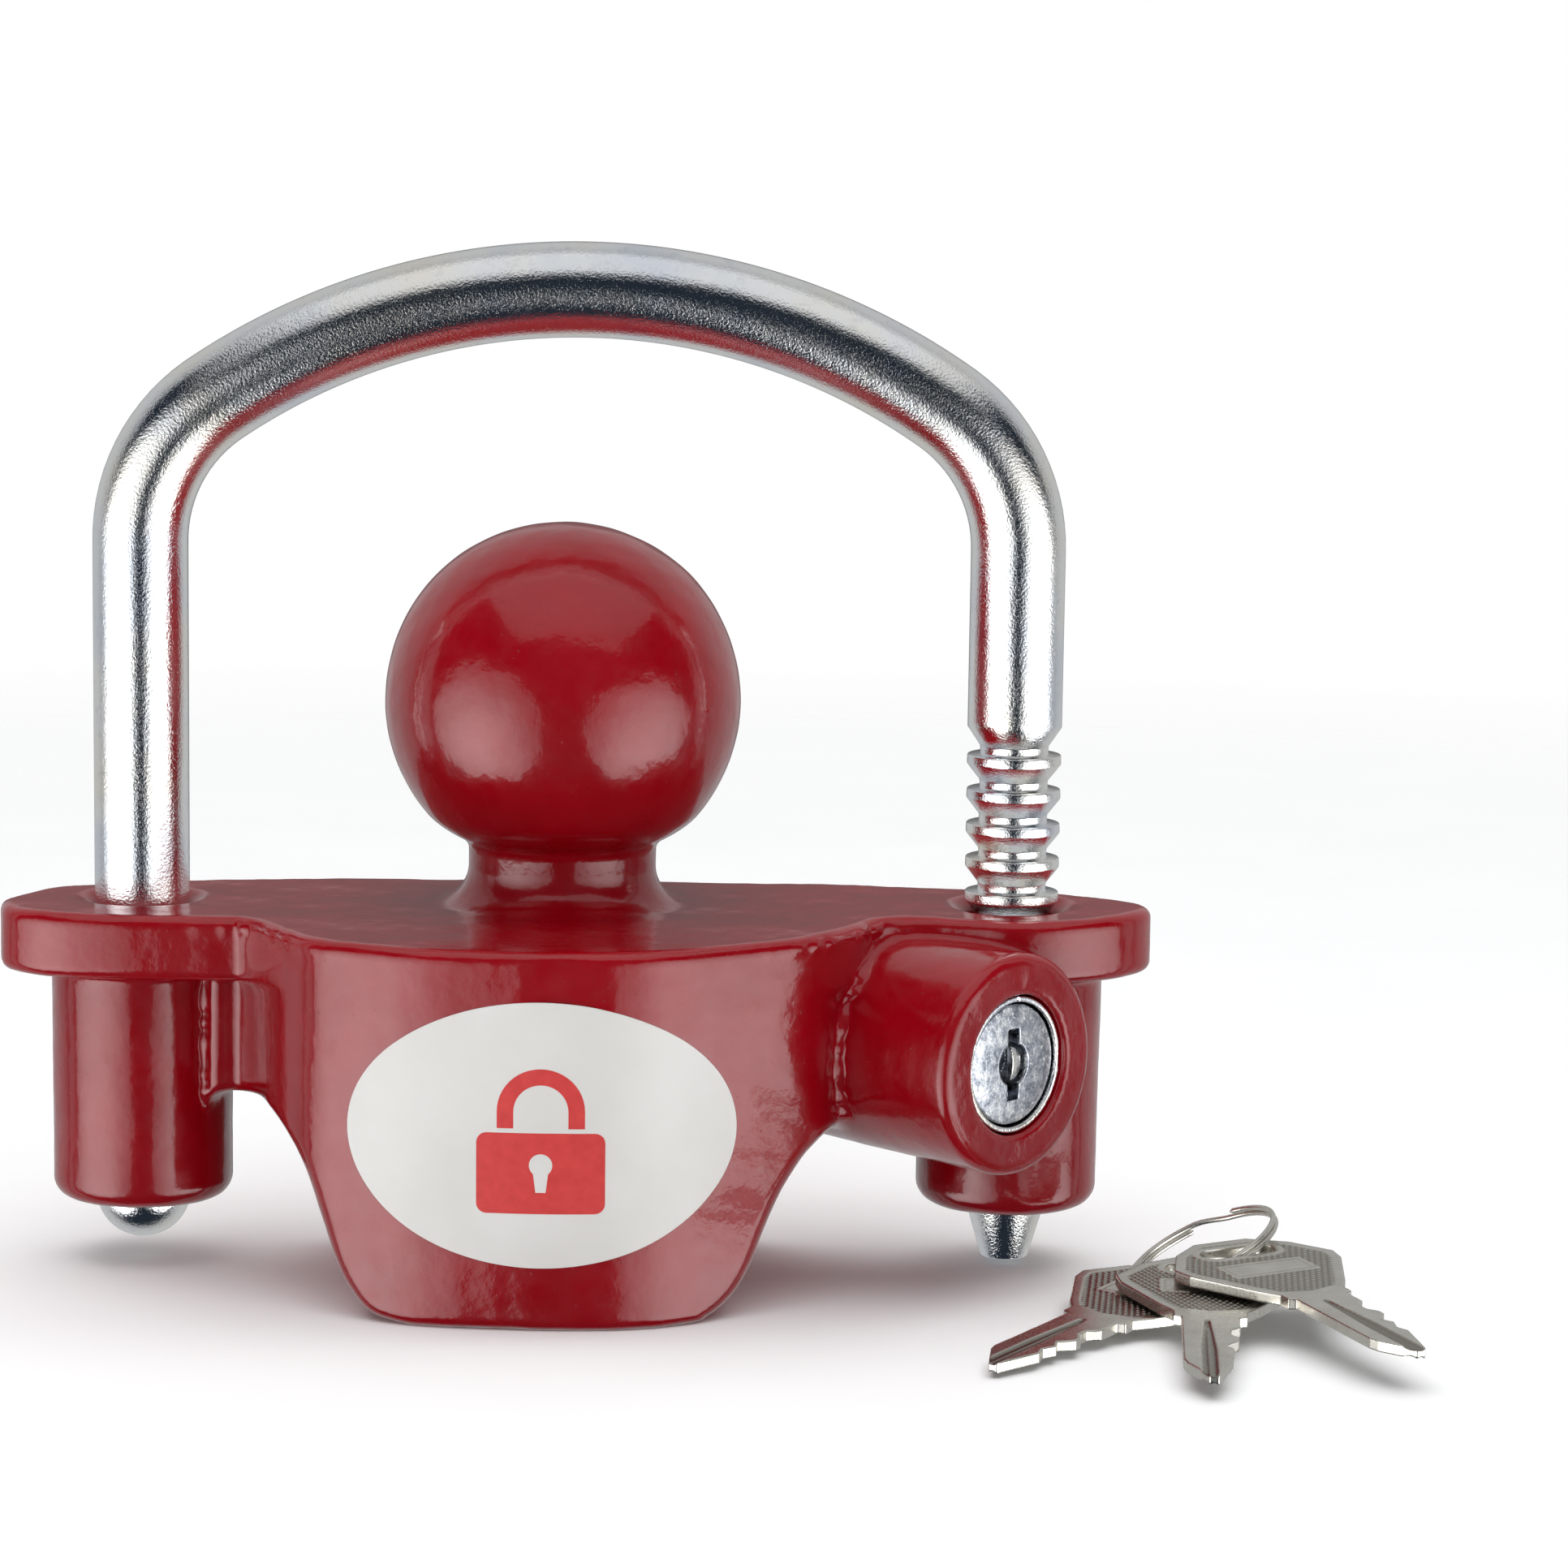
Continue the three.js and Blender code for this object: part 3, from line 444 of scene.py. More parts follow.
class Look:
    """A node material under construction."""

    def __init__(self, name, **sockets):
        self.material = bpy.data.materials.new(name)
        self.material.use_nodes = True
        self.tree = self.material.node_tree
        self.shader = self.tree.nodes["Principled BSDF"]
        for key, value in sockets.items():
            self.shader.inputs[key.replace("_", " ")].default_value = value
        self.place = add_node(self.tree, "TexCoord").outputs["Object"]

    def noise(self, size, detail=3.0, roughness=0.5, stretch=(1, 1, 1), place=None):
        """Noise with features about size millimetres across."""
        mapping = add_node(self.tree, "Mapping", Scale=stretch, Vector=place or self.place)
        node = add_node(self.tree, "TexNoise", Scale=1 / (size * MM), Detail=detail, Roughness=roughness,
                        Vector=mapping.outputs["Vector"])
        return node.outputs["Fac"]

    def attribute(self, name, output="Fac"):
        node = add_node(self.tree, "Attribute")
        node.attribute_name = name
        return node.outputs[output]

    def ramp(self, value, *stops):
        return ramp(self.tree, value, stops)

    def tones(self, low, high, *noise):
        """Two colours in the patches of a noise."""
        return self.ramp(self.noise(*noise), (0.3, low), (0.7, high))

    def spots(self, start, full, *noise):
        """The peaks of a noise, from 0 below start to 1 above full."""
        return self.ramp(self.noise(*noise), (start, (0, 0, 0)), (full, (1, 1, 1)))

    def mix(self, share, a, b):
        """Two colours mixed; all three are outputs or plain numbers."""
        node = add_node(self.tree, "Mix")
        node.data_type = "RGBA"
        for k, value in ((0, share), (6, a), (7, b)):
            feed(self.tree, node.inputs[k], (*value, 1) if isinstance(value, tuple) else value)
        return node.outputs[2]

    def spread(self, value, low, high, from_low=0.3, from_high=0.7):
        """A value's usual span moved to another one."""
        node = add_node(self.tree, "MapRange", Value=value, From_Min=from_low, From_Max=from_high,
                        To_Min=low, To_Max=high)
        return node.outputs["Result"]

    def finish(self, colour, roughness, *layers):
        """The material, coloured, roughened and with layers of (value, height in millimetres, strength)."""
        feed(self.tree, self.shader.inputs["Base Color"], colour)
        feed(self.tree, self.shader.inputs["Roughness"], roughness)
        normal = None
        for value, height, strength in layers:
            node = add_node(self.tree, "Bump", Distance=height * MM, Strength=strength, Height=value)
            if normal:
                self.tree.links.new(normal, node.inputs["Normal"])
            normal = node.outputs["Normal"]
        self.tree.links.new(normal, self.shader.inputs["Normal"])
        if self.shader.inputs["Coat Weight"].default_value:
            self.tree.links.new(normal, self.shader.inputs["Coat Normal"])
        return self.material


def red_paint():
    """Gloss enamel sprayed over a rough casting: deep red, orange peel, a few specks of dust."""
    look = Look("red_paint", Coat_Weight=0.5, Coat_Roughness=0.04, Specular_IOR_Level=0.4)
    tone = look.tones((0.245, 0.0003, 0.004), (0.28, 0.0006, 0.006), 9, 4)
    specks = look.spots(0.75, 0.78, 0.7, 2, 0.4)
    return look.finish(look.mix(specks, tone, (0.2, 0.003, 0.006)),
                       look.spread(look.noise(3, 3), 0.16, 0.28),
                       (look.noise(6.5, 3), 0.30, 0.4), (look.noise(2.2, 4, 0.6), 0.08, 0.6),
                       (specks, 0.03, 0.5))


def bright_zinc(name, grain=None):
    """Bright zinc plate: nearly a mirror, with a grain and faint blue and straw tints."""
    look = Look(name, Metallic=1.0)
    place = look.attribute(grain, "Vector") if grain else None
    along = (1, 1, 0.16) if grain else (1, 1, 1)
    fine = look.noise(0.35, 3, 0.6)
    streaks = look.noise(1.1, 4, 0.6, along, place)
    tint = look.ramp(look.noise(14, 3), (0.35, (0.82, 0.86, 0.92)), (0.5, (0.93, 0.94, 0.94)),
                     (0.66, (0.95, 0.92, 0.85)))
    dull = look.spots(0.55, 0.75, 2.2, 5, 0.7)
    return look.finish(look.mix(look.mix(0.35, (0.0, 0.0, 0.0), dull), tint, (0.55, 0.58, 0.63)),
                       look.spread(fine, 0.04, 0.13),
                       (fine, 0.07, 0.85), (streaks, 0.04, 0.6), (look.noise(5, 3), 0.06, 0.3))


def cloudy_zinc():
    """Die-cast zinc that has been polished and handled, with cloudy patches and nicks."""
    look = Look("cloudy_zinc", Metallic=1.0)
    cloud = look.noise(1.6, 6, 0.75)
    nicks = look.spots(0.66, 0.70, 0.5, 2, 0.4)
    tone = look.ramp(cloud, (0.38, (0.80, 0.82, 0.84)), (0.5, (0.50, 0.53, 0.58)),
                     (0.64, (0.20, 0.22, 0.27)))
    return look.finish(look.mix(nicks, tone, (0.88, 0.88, 0.87)),
                       look.spread(look.noise(0.5, 4), 0.14, 0.34),
                       (cloud, 0.05, 0.7), (look.noise(0.4, 4), 0.02, 0.8), (nicks, 0.03, 0.8))


def plain_steel():
    look = Look("plain_steel", Metallic=1.0)
    return look.finish(look.tones((0.40, 0.41, 0.42), (0.50, 0.50, 0.50), 3, 4),
                       look.spread(look.noise(0.4, 3, 0.5, (1, 1, 0.15)), 0.25, 0.42),
                       (look.noise(0.3, 3), 0.01, 0.6))


def wafer_brass():
    look = Look("wafer_brass", Metallic=1.0)
    return look.finish(look.tones((0.66, 0.49, 0.21), (0.76, 0.60, 0.30), 2.5, 4),
                       look.spread(look.noise(0.5, 3), 0.25, 0.45),
                       (look.noise(0.3, 3), 0.01, 0.5))


def warm_nickel(name, shade_attribute=None):
    """Satin nickel with a warm cast; on a key, painted shade darkens the low places and the high ones keep
    the plain tone.
    """
    look = Look(name, Metallic=1.0)
    tone = look.tones((0.64, 0.615, 0.55), (0.76, 0.74, 0.68), 4, 4, 0.6)
    if shade_attribute:
        # painted shade: the colour goes towards a dark brownish grey where the key lies low
        tone = look.mix(look.attribute(shade_attribute), tone, (0.30, 0.28, 0.24))
    return look.finish(tone, look.spread(look.noise(0.35, 4, 0.6), 0.22, 0.40),
                       (look.noise(0.25, 4, 0.6), 0.008, 0.6))


def label_foil():
    """Pearl white film."""
    look = Look("label_foil", Coat_Weight=0.3, Coat_Roughness=0.2)
    return look.finish(look.tones((0.66, 0.65, 0.62), (0.71, 0.70, 0.675), 12, 3),
                       look.spread(look.noise(0.4, 3), 0.32, 0.45),
                       (look.noise(7, 2), 0.08, 0.3), (look.noise(0.5, 2), 0.006, 0.5))


def label_ink():
    look = Look("label_ink")
    return look.finish(look.tones((0.56, 0.03, 0.03), (0.64, 0.045, 0.04), 1.5, 4),
                       look.spread(look.noise(0.4, 3), 0.35, 0.5),
                       (look.noise(0.5, 2), 0.005, 0.5))


# ------------ the casting

PLATE = Outline(np.vstack([spline([*LEFT_LOBE_FRONT, FRONT_BULGE[0]])[:-1],
                           spline(FRONT_BULGE)[:-1],
                           spline([FRONT_BULGE[-1], *RIGHT_LOBE, *BACK_EDGE])]))
SKIRT = Outline(spline(SKIRT_PLAN))
ELEVATION = Outline(np.vstack([spline(SKIRT_LEFT_SIDE), spline([SKIRT_LEFT_SIDE[-1], *SKIRT_RIGHT_SIDE])]))
HOLLOW = Outline(HOLLOW_PLAN)
HOLLOW_ELEVATION = Outline(HOLLOW_SIDE)


def plate_and_skirt(x, y, z):
    edge = PLATE(x, y)
    plate = common(edge, between(z, -PLATE_T, 0), PLATE_EDGE)
    draft = 1 - SKIRT_DRAFT * np.clip((z + PLATE_T) / (SKIRT_BOTTOM + PLATE_T), 0, 1)
    wall = SKIRT(x, SKIRT_MID_Y + (y - SKIRT_MID_Y) / draft)
    skirt = common(wall, ELEVATION(x, z), 1.6)
    # the two share their front, so there is a fillet only where the plate stands proud of the skirt
    return union(plate, skirt, np.clip(wall - edge, 0.001, 1.6))


def ball_and_neck(x, y, z):
    r = np.hypot(x, y)
    sphere = np.hypot(r, z - BALL_Z) - BALL_R
    jaw = (JAW["z"] + (r - JAW["r"]) * math.tan(JAW["slope"]) - z) * math.cos(JAW["slope"])
    neck = common(r - NECK_R, between(z, -6, 12))
    return union(common(sphere, jaw, 1.4), neck, 1.1)


def sleeve(x, y, z, at, r):
    taper = 0.2 * np.clip((z - SLEEVE_BOTTOM) / 35, 0, 1)
    return common(np.hypot(x - at, y) - r - taper + 0.2, between(z, SLEEVE_BOTTOM, -3), 2.6)


def lock_bores(side, up, depth):
    """Everything bored out of the boss: barrel seat, yoke chamber, bolt slot, spring and pin holes."""
    r = np.hypot(side, up)
    bore = common(r - BORE_R, between(depth, -3, BORE_DEPTH))
    chamber = common(r - CHAMBER_R, between(depth, BORE_DEPTH - 0.1, CHAMBER_DEPTH))
    rear = common(r - REAR_BORE_R, between(depth, CHAMBER_DEPTH - 0.2, REAR_BORE_DEPTH))
    half = BOLT["half_thick"] + CLEARANCE
    slot = common(common(between(side, 0, LEG_SIDE), np.abs(up) - BOLT["half_h"] - CLEARANCE),
                  np.abs(depth - LEG_DEPTH) - half)
    spring = common(np.hypot(up, depth - LEG_DEPTH) - SPRING["r"] - 0.6,
                    between(side, SPRING["start"] - CLEARANCE, -6))
    pin = common(np.hypot(side, depth - PIN["depth"]) - PIN["r"] - CLEARANCE,
                 between(up, -BOSS_FACE_R - 2, -7.4))
    return np.minimum.reduce([bore, chamber, rear, slot, spring, pin])


def seams(x, z, edge):
    """Flash left along the mould's parting line, where the webs meet the front of the plate."""
    left = np.exp(-((x + 39) / 7) ** 2)
    right = np.exp(-((x - 40) / 9) ** 2)
    ragged = 0.5 + 0.5 * np.sin(2.1 * x + 1.3 * np.sin(0.9 * x + 1))
    line = np.exp(-((z + 1.3) / 0.9) ** 2) * np.exp(-(edge / 1.6) ** 2)
    return 0.42 * (left + right) * ragged * line


def ridge(a, b, z, low, high):
    """A ragged line of flash along the crease between two solids, from one height to another."""
    ragged = 0.6 + 0.4 * np.sin(1.9 * z + 1.4 * np.sin(0.8 * z))
    height = 0.45 * ragged * np.exp(-((a - b) / 1.1) ** 2)
    return height * ease(z, low, low + 3) * (1 - ease(z, high - 3, high))


def casting(p):
    """Distance to the whole casting's skin."""
    x, y, z = p.T
    side, up, depth = in_lock(p)
    body = plate_and_skirt(x, y, z)
    for at, r in zip(LEG_X, SLEEVE_R):
        post = sleeve(x, y, z, at, r)
        flash = ridge(body, post, z, -29, -8) * ease(x - LEG_X[0], 0, 4) * (1 - ease(y, -2, 2))
        body = union(body, post, 1.3) - flash
    body = union(body, ball_and_neck(x, y, z), np.where(z > -3, NECK_FLARE, 0.001))
    from_axis = np.hypot(side, up)
    girth = BOSS_ROOT_R + (BOSS_FACE_R - BOSS_ROOT_R) * np.clip(1 - depth / BOSS_LENGTH, 0, 1)
    boss = common(from_axis - girth, between(depth, 0, BOSS_LENGTH), 1.5)
    flash = ridge(body, boss, z, -31, -1) * (1 - ease(side, -6, -2))
    body = union(body, boss, 1.6) - flash
    body = body + 0.10 * lumps(p, 17, 3) + 0.030 * lumps(p, 5, 5) - seams(x, z, PLATE(x, y))
    hollow = common(HOLLOW(x, y), HOLLOW_ELEVATION(x, z), 3.5)
    body = cut(body, hollow, 1.2)
    body = cut(body, lock_bores(side, up, depth), 0.45)
    for at in LEG_X:
        from_leg = np.hypot(x - at, y)
        rim = 1.9 * ease(z, -2.2, 0.3) ** 1.5
        body = cut(body, from_leg - LEG_HOLE_R - rim, 0.5)
    return body


def make_casting(paint):
    low, high = from_frame(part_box("body_casting"))
    points, quads = surface(casting, low, high, 0.55)
    made = piece("cast_body", np.clip(points, low, high), quads, paint, "lock_body")
    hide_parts("body_casting")


# ------------ the label

def draped(plan, height):
    """Points of the front view (x, z), moved back from in front of the casting to a height above it."""
    start_y, rounds = -46.0, 60
    p = np.column_stack([plan[:, 0], np.full(len(plan), start_y), plan[:, 1]])
    for _ in range(rounds):
        p[:, 1] += 0.8 * casting(p)
    slope = slopes(casting, p, 1.2)
    return p + slope / np.linalg.norm(slope, axis=1)[:, None] * height


def sheet_solid(name, plan, faces, rim, heights, material):
    """A thin closed sheet on the casting: a lower and an upper side joined round its rim."""
    lower, upper = (draped(plan, height) for height in heights)
    count = len(plan)
    body = [tuple(f) for f in faces] + [tuple(count + i for i in reversed(f)) for f in faces]
    body += [(b, a, count + a, count + b) for a, b in rim]
    return piece(name, np.vstack([upper, lower]), body, material, "lock_body", sharp=50)


def make_label(foil):
    rings, spokes = 32, 150
    share = np.linspace(0, 1, rings + 1)[1:]
    angle = np.linspace(0, math.tau, spokes, endpoint=False)
    u = LABEL["x"] + LABEL["half_width"] * np.outer(share, np.cos(angle)).ravel()
    v = LABEL["z"] + LABEL["half_height"] * np.outer(share, np.sin(angle)).ravel()
    plan = np.vstack([[(LABEL["x"], LABEL["z"])], np.column_stack([u, v])])
    faces, rim = [], []
    for k in range(spokes):
        n = (k + 1) % spokes
        faces.append((0, 1 + k, 1 + n))
        for i in range(rings - 1):
            a, b = 1 + i * spokes, 1 + (i + 1) * spokes
            faces.append((a + k, b + k, b + n, a + n))
        last = 1 + (rings - 1) * spokes
        rim.append((last + k, last + n))
    made = sheet_solid("oval_label", plan, faces, rim, (-0.05, LABEL["thick"]), foil)
    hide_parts("front_label")


def finely(points, step=0.6):
    """A closed outline with points at most a step apart."""
    out = []
    for a, b in zip(points, np.roll(points, -1, axis=0)):
        count = max(1, math.ceil(np.hypot(*(b - a)) / step))
        out.append(a + np.linspace(0, 1, count, endpoint=False)[:, None] * (b - a))
    return np.vstack(out)


def triangulated(outer, holes, spacing=0.8):
    """Triangles inside an outline and outside its holes, small enough to be laid on a curve."""
    outlines = [outer, *holes]
    points, edges = [], []
    for outline in outlines:
        start = len(points)
        points += [tuple(p) for p in outline]
        edges += [(start + k, start + (k + 1) % len(outline)) for k in range(len(outline))]
    low, high = outer.min(0), outer.max(0)
    u, v = np.meshgrid(np.arange(low[0], high[0], spacing), np.arange(low[1], high[1], spacing))
    clear = np.min([np.abs(outline_distance(o, u, v)) for o in outlines], axis=0) > 0.3
    points += list(zip(u[clear].tolist(), v[clear].tolist()))
    verts, _, triangles, *_ = delaunay_2d_cdt([Vector(p) for p in points], edges, [], 0, 1e-5)
    plan = np.array([tuple(v) for v in verts])
    middle = plan[np.array(triangles)].mean(1)
    kept = outline_distance(outer, *middle.T) < 0
    for hole in holes:
        kept &= outline_distance(hole, *middle.T) > 0
    used, order = np.unique(np.array(triangles)[kept], return_inverse=True)
    return plan[used], [tuple(t) for t in order.reshape(-1, 3).tolist()]


def rim_of(faces):
    """Directed edges with a face on one side only."""
    edges = {(a, b) for f in faces for a, b in zip(f, (*f[1:], f[0]))}
    return [(a, b) for a, b in edges if (b, a) not in edges]


def make_mark(ink):
    """A plain padlock printed on the label."""
    x, z = LABEL["x"], LABEL["z"] - 1.2
    half_w, top, foot, corner = 8.2, 1.6, -9.0, 1.3
    hole_z, hole_r, slit_foot, half_slit = z - 2.6, 1.5, z - 6.2, 0.65
    bow_z, bow_foot, bow_r, inner_r = z + 4.4, z + 2.2, 5.6, 3.5
    left, right = x - half_w + corner, x + half_w - corner
    low, high = z + foot + corner, z + top - corner
    corners = ((right, high), (left, high), (left, low), (right, low))
    body = np.vstack([arc(*at, corner, 90 * k, 90 * k + 90, 5) for k, at in enumerate(corners)])
    keyhole = np.vstack([arc(x, hole_z, hole_r, -50, 230, 18),
                         [(x - half_slit, slit_foot), (x + half_slit, slit_foot)]])
    bow = np.vstack([arc(x, bow_z, bow_r, 0, 180, 24), [(x - bow_r, bow_foot), (x - inner_r, bow_foot)],
                     arc(x, bow_z, inner_r, 180, 0, 20), [(x + inner_r, bow_foot), (x + bow_r, bow_foot)]])
    for name, outer, holes in (("label_mark_body", body, [keyhole]), ("label_mark_bow", bow, [])):
        plan, faces = triangulated(finely(outer), [finely(hole) for hole in holes])
        sheet_solid(name, plan, faces, rim_of(faces), (LABEL["thick"] - 0.06, LABEL["thick"] + 0.03), ink)


# ------------ the shackle

def shackle_line():
    """Where the centreline's bends and crown end along it, and a function to a point and its direction."""
    inset, rise = LEG_HALF_GAP - BEND_R, CROWN_TOP - LEG_TOP
    crown_r = (inset ** 2 + rise ** 2 - BEND_R ** 2) / (2 * (rise - BEND_R))
    crown_z = CROWN_TOP - crown_r
    touch = math.atan2(LEG_TOP - crown_z, inset)
    leg = LEG_TOP - LEFT_TIP
    bend = BEND_R * touch
    crown = crown_r * (math.pi - 2 * touch)
    marks = np.cumsum([leg, bend, crown, bend])

    def on_arc(cx, cz, r, a):
        return (cx + r * math.cos(a), cz + r * math.sin(a)), a

    def at(s):
        if s <= marks[0]:
            return (LEG_X[0], LEFT_TIP + s), math.pi
        if s <= marks[1]:
            return on_arc(LEG_X[0] + BEND_R, LEG_TOP, BEND_R, math.pi - (s - marks[0]) / BEND_R)
        if s <= marks[2]:
            return on_arc(SHACKLE_MID_X, crown_z, crown_r, math.pi - touch - (s - marks[1]) / crown_r)
        if s <= marks[3]:
            return on_arc(LEG_X[1] - BEND_R, LEG_TOP, BEND_R, touch - (s - marks[2]) / BEND_R)
        return (LEG_X[1], LEG_TOP - (s - marks[3])), 0.0

    return marks, at


def ratchet_profile():
    """The ratchet leg's (height, radius) from the plain bar down to the tip."""
    step, bevel = 0.05, 0.12
    first = RATCHET_FIRST + BAND_H
    profile = [(first + GROOVE_NECK_H + GROOVE_LEAD, BAR_R), (first + GROOVE_NECK_H, GROOVE_R),
               (first + step, GROOVE_R)]
    for i in range(RATCHET_COUNT):
        foot = RATCHET_FIRST - i * RATCHET_PITCH
        after = foot - RATCHET_PITCH + BAND_H
        profile += [(foot + BAND_H - bevel, BAR_R - step), (foot + 0.1, BAR_R),
                    (after + GROOVE_NECK_H, GROOVE_R), (after + step, GROOVE_R)]
    last = RATCHET_FIRST - RATCHET_COUNT * RATCHET_PITCH + BAND_H
    return [*profile, (last - bevel, BAR_R), (TIP_CONE_TOP, BAR_R), (RIGHT_TIP + step, TIP_R),
            (RIGHT_TIP, 0.6)]


def make_shackle(zinc):
    marks, at = shackle_line()
    dome = map(math.radians, np.linspace(4, 90, 14))
    places = [(BAR_R * (1 - math.cos(a)), BAR_R * math.sin(a)) for a in dome]
    last_plain = RATCHET_FIRST + BAND_H + GROOVE_NECK_H + GROOVE_LEAD
    end_plain = marks[3] + LEG_TOP - last_plain
    places += [(s, BAR_R) for s in np.arange(BAR_R + 1.5, end_plain - 1, 1.6)]
    ratchet = rounded(ratchet_profile(), 0.16)
    places += [(marks[3] + LEG_TOP - z, r) for z, r in ratchet]
    flow, radii = np.array(places).T
    centres, normals = [], []
    for s in flow:
        (x, z), a = at(s)
        centres.append((x, 0, z))
        normals.append((math.cos(a), 0, math.sin(a)))
    centres, normals = np.array(centres), np.array(normals)
    across = np.tile((0.0, 1.0, 0.0), (len(places), 1))
    sides = 72
    points, faces = tube(centres, normals, across, radii, sides)
    made = piece("shackle_bar", points, faces, zinc, "shackle", sharp=40)
    angle = np.linspace(0, math.tau, sides, endpoint=False)
    place = np.zeros((len(points), 3))
    place[:-2, 0] = np.outer(radii, np.cos(angle)).ravel()
    place[:-2, 1] = np.outer(radii, np.sin(angle)).ravel()
    place[:-2, 2] = np.repeat(flow, sides)
    place[-1, 2] = flow[-1]
    drawn = made.data.attributes.new("grain", "FLOAT_VECTOR", "POINT")
    drawn.data.foreach_set("vector", (place * MM).ravel())
    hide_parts("shackle")


# ------------ the lock

def barrel(p):
    side, up, depth = in_lock(p)
    r = np.hypot(side, up)
    wall = common(between(r, PLUG_R + CLEARANCE, BARREL_R), between(depth, *BARREL_DEPTHS), 0.22)
    from_dot = (side - BARREL_DOT["side"]) ** 2 + (up - BARREL_DOT["up"]) ** 2
    dot = np.sqrt(from_dot + (depth - BARREL_DEPTHS[0]) ** 2) - BARREL_DOT["r"]
    pin = np.hypot(side, depth - PIN["depth"]) - PIN["r"] - CLEARANCE
    return cut(cut(wall, dot), np.maximum(pin, up))


def plug(p):
    side, up, depth = in_lock(p)
    r = np.hypot(side, up)
    throw = ECCENTRIC_THROW * math.sqrt(0.5)
    crowned = PLUG_DEPTHS[0] + 0.32 * (np.minimum(r, PLUG_R) / PLUG_R) ** 3
    body = common(r - PLUG_R, between(depth, crowned, PLUG_DEPTHS[1]), 0.25)
    eccentric = common(np.hypot(side - throw, up + throw) - ECCENTRIC_R,
                       between(depth, PLUG_DEPTHS[1] - 0.5, CHAMBER_DEPTH))
    tail = common(r - TAIL_R, between(depth, CHAMBER_DEPTH - 0.5, TAIL_END), 0.3)
    body = np.minimum.reduce([body, eccentric, tail])
    for height, end, edge in ((KEYWAY["face"], 3, 0.12), (KEYWAY["height"], KEYWAY["depth"], 0.1)):
        slot = common(np.abs(side) - KEYWAY["width"] / 2, np.abs(up) - height / 2)
        body = cut(body, common(slot, between(depth, -1, end)), edge)
    body = cut(body, common(r - POCKET["r"], between(depth, -1, POCKET["depth"])), 0.12)
    lip_r = 0.14
    from_lip = np.maximum(np.abs(r - POCKET["r"] - 0.22) - 0.02, 0)
    lip = np.hypot(from_lip, depth - PLUG_DEPTHS[0] - lip_r) - lip_r
    body = np.minimum(body, np.maximum(lip, KEYWAY["width"] / 2 + 0.1 - np.abs(side)))
    body = cut(body, common(CLIP_GROOVE["r"] - r, between(depth, *CLIP_GROOVE["depths"])))
    for i in range(WAFERS["count"]):
        near = WAFERS["first"] + i * WAFERS["pitch"]
        slot = common(np.abs(side) - WAFERS["half"], between(depth, near, near + WAFERS["slot"]))
        body = cut(body, slot)
    return body


def shutter(p):
    """A domed flap, cut straight along the side that the key pushes."""
    side, up, depth = in_lock(p)
    r = np.hypot(side, up)
    crown = SHUTTER["depth"] - 0.48 * (1 - (np.minimum(r, SHUTTER["r"]) / SHUTTER["r"]) ** 2)
    sheet = np.maximum(crown - depth, depth - SHUTTER["depth"] - SHUTTER["thick"])
    flap = common(r - SHUTTER["r"], sheet, 0.12)
    return cut(flap, side - SHUTTER["reach"], 0.12)


def lock_piece(name, field, node, body, material, step):
    low, high = from_frame(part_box(node))
    points, quads = surface(field, low, high, step)
    made = piece(name, np.clip(points, low, high), quads, material, body, sharp=45)
    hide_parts(node)


def make_lock(zinc, cloudy):
    coarse = 1
    lock_piece("barrel_rim", barrel, "lock_barrel", "lock_body", zinc, 0.16 * coarse)
    lock_piece("plug_turned", plug, "plug", "plug", cloudy, 0.16 * coarse)
    lock_piece("shutter_flap", shutter, "dust_shutter", "shutter", zinc, 0.07 * coarse)


def make_spring(steel):
    """The bolt's coil spring, swept at one fixed length, though the real one shortens as the bolt is drawn.
    """
    turns, per_turn = SPRING["turns"], 32
    t = np.linspace(0, 1, turns * per_turn + 1)
    length = SPRING["end"] - SPRING["start"] - 2 * SPRING["wire"]
    r = SPRING["r"] - SPRING["wire"]
    angle = math.tau * turns * t
    side = SPRING["start"] + SPRING["wire"] + length * t
    out = -LEG_DEPTH + r * np.sin(angle)
    centres = LOCK_FACE + np.outer(side, SIDE) + np.outer(r * np.cos(angle), UP) + np.outer(out, OUT)
    outward = np.outer(np.cos(angle), UP) + np.outer(np.sin(angle), OUT)
    along = np.gradient(centres, axis=0)
    along /= np.linalg.norm(along, axis=1)[:, None]
    points, faces = tube(centres, outward, np.cross(along, outward), np.full(len(t), SPRING["wire"]), 12)
    made = piece("spring_coil", points, faces, steel, "lock_body", sharp=60)
    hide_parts("latch_spring")
    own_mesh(made)


# ------------ keys

def key_outline():
    top, tip = KEY["top"], KEY["top"] - KEY["length"]
    w, b = KEY["bow_width"] / 2, KEY["blade"] / 2
    neck = top - KEY["bow_length"]
    cuts = [(b, neck - 6), (b - 1.3, neck - 7.4), (b - 1.3, neck - 9), (b - 0.3, neck - 10.4),
            (b - 0.3, neck - 11.6), (b - 1.9, neck - 13.4), (b - 1.0, neck - 15), (b - 1.8, neck - 17),
            (b - 1.2, neck - 18.6)]
    bow = [(w - 8, top), (w - 3.4, top - 3.4), (w, top - 9), (w - 0.6, top - 12), (w - 5.5, neck + 2.6),
           (b + 1, neck), (b + 1, neck - 1.8), (b, neck - 2.2)]
    return [*bow, *cuts, (0.6, tip), (-0.6, tip), (-b + 0.4, tip + 4.6), (-b, tip + 6),
            *((-x, y) for x, y in reversed(bow))]


KEY_EDGE = Outline(key_outline(), 0.12, 2.0)


def key_slot(x, y):
    reach = (KEY["slot_length"] - KEY["slot_width"]) / 2
    return np.hypot(np.maximum(np.abs(x) - reach, 0), y) - KEY["slot_width"] / 2


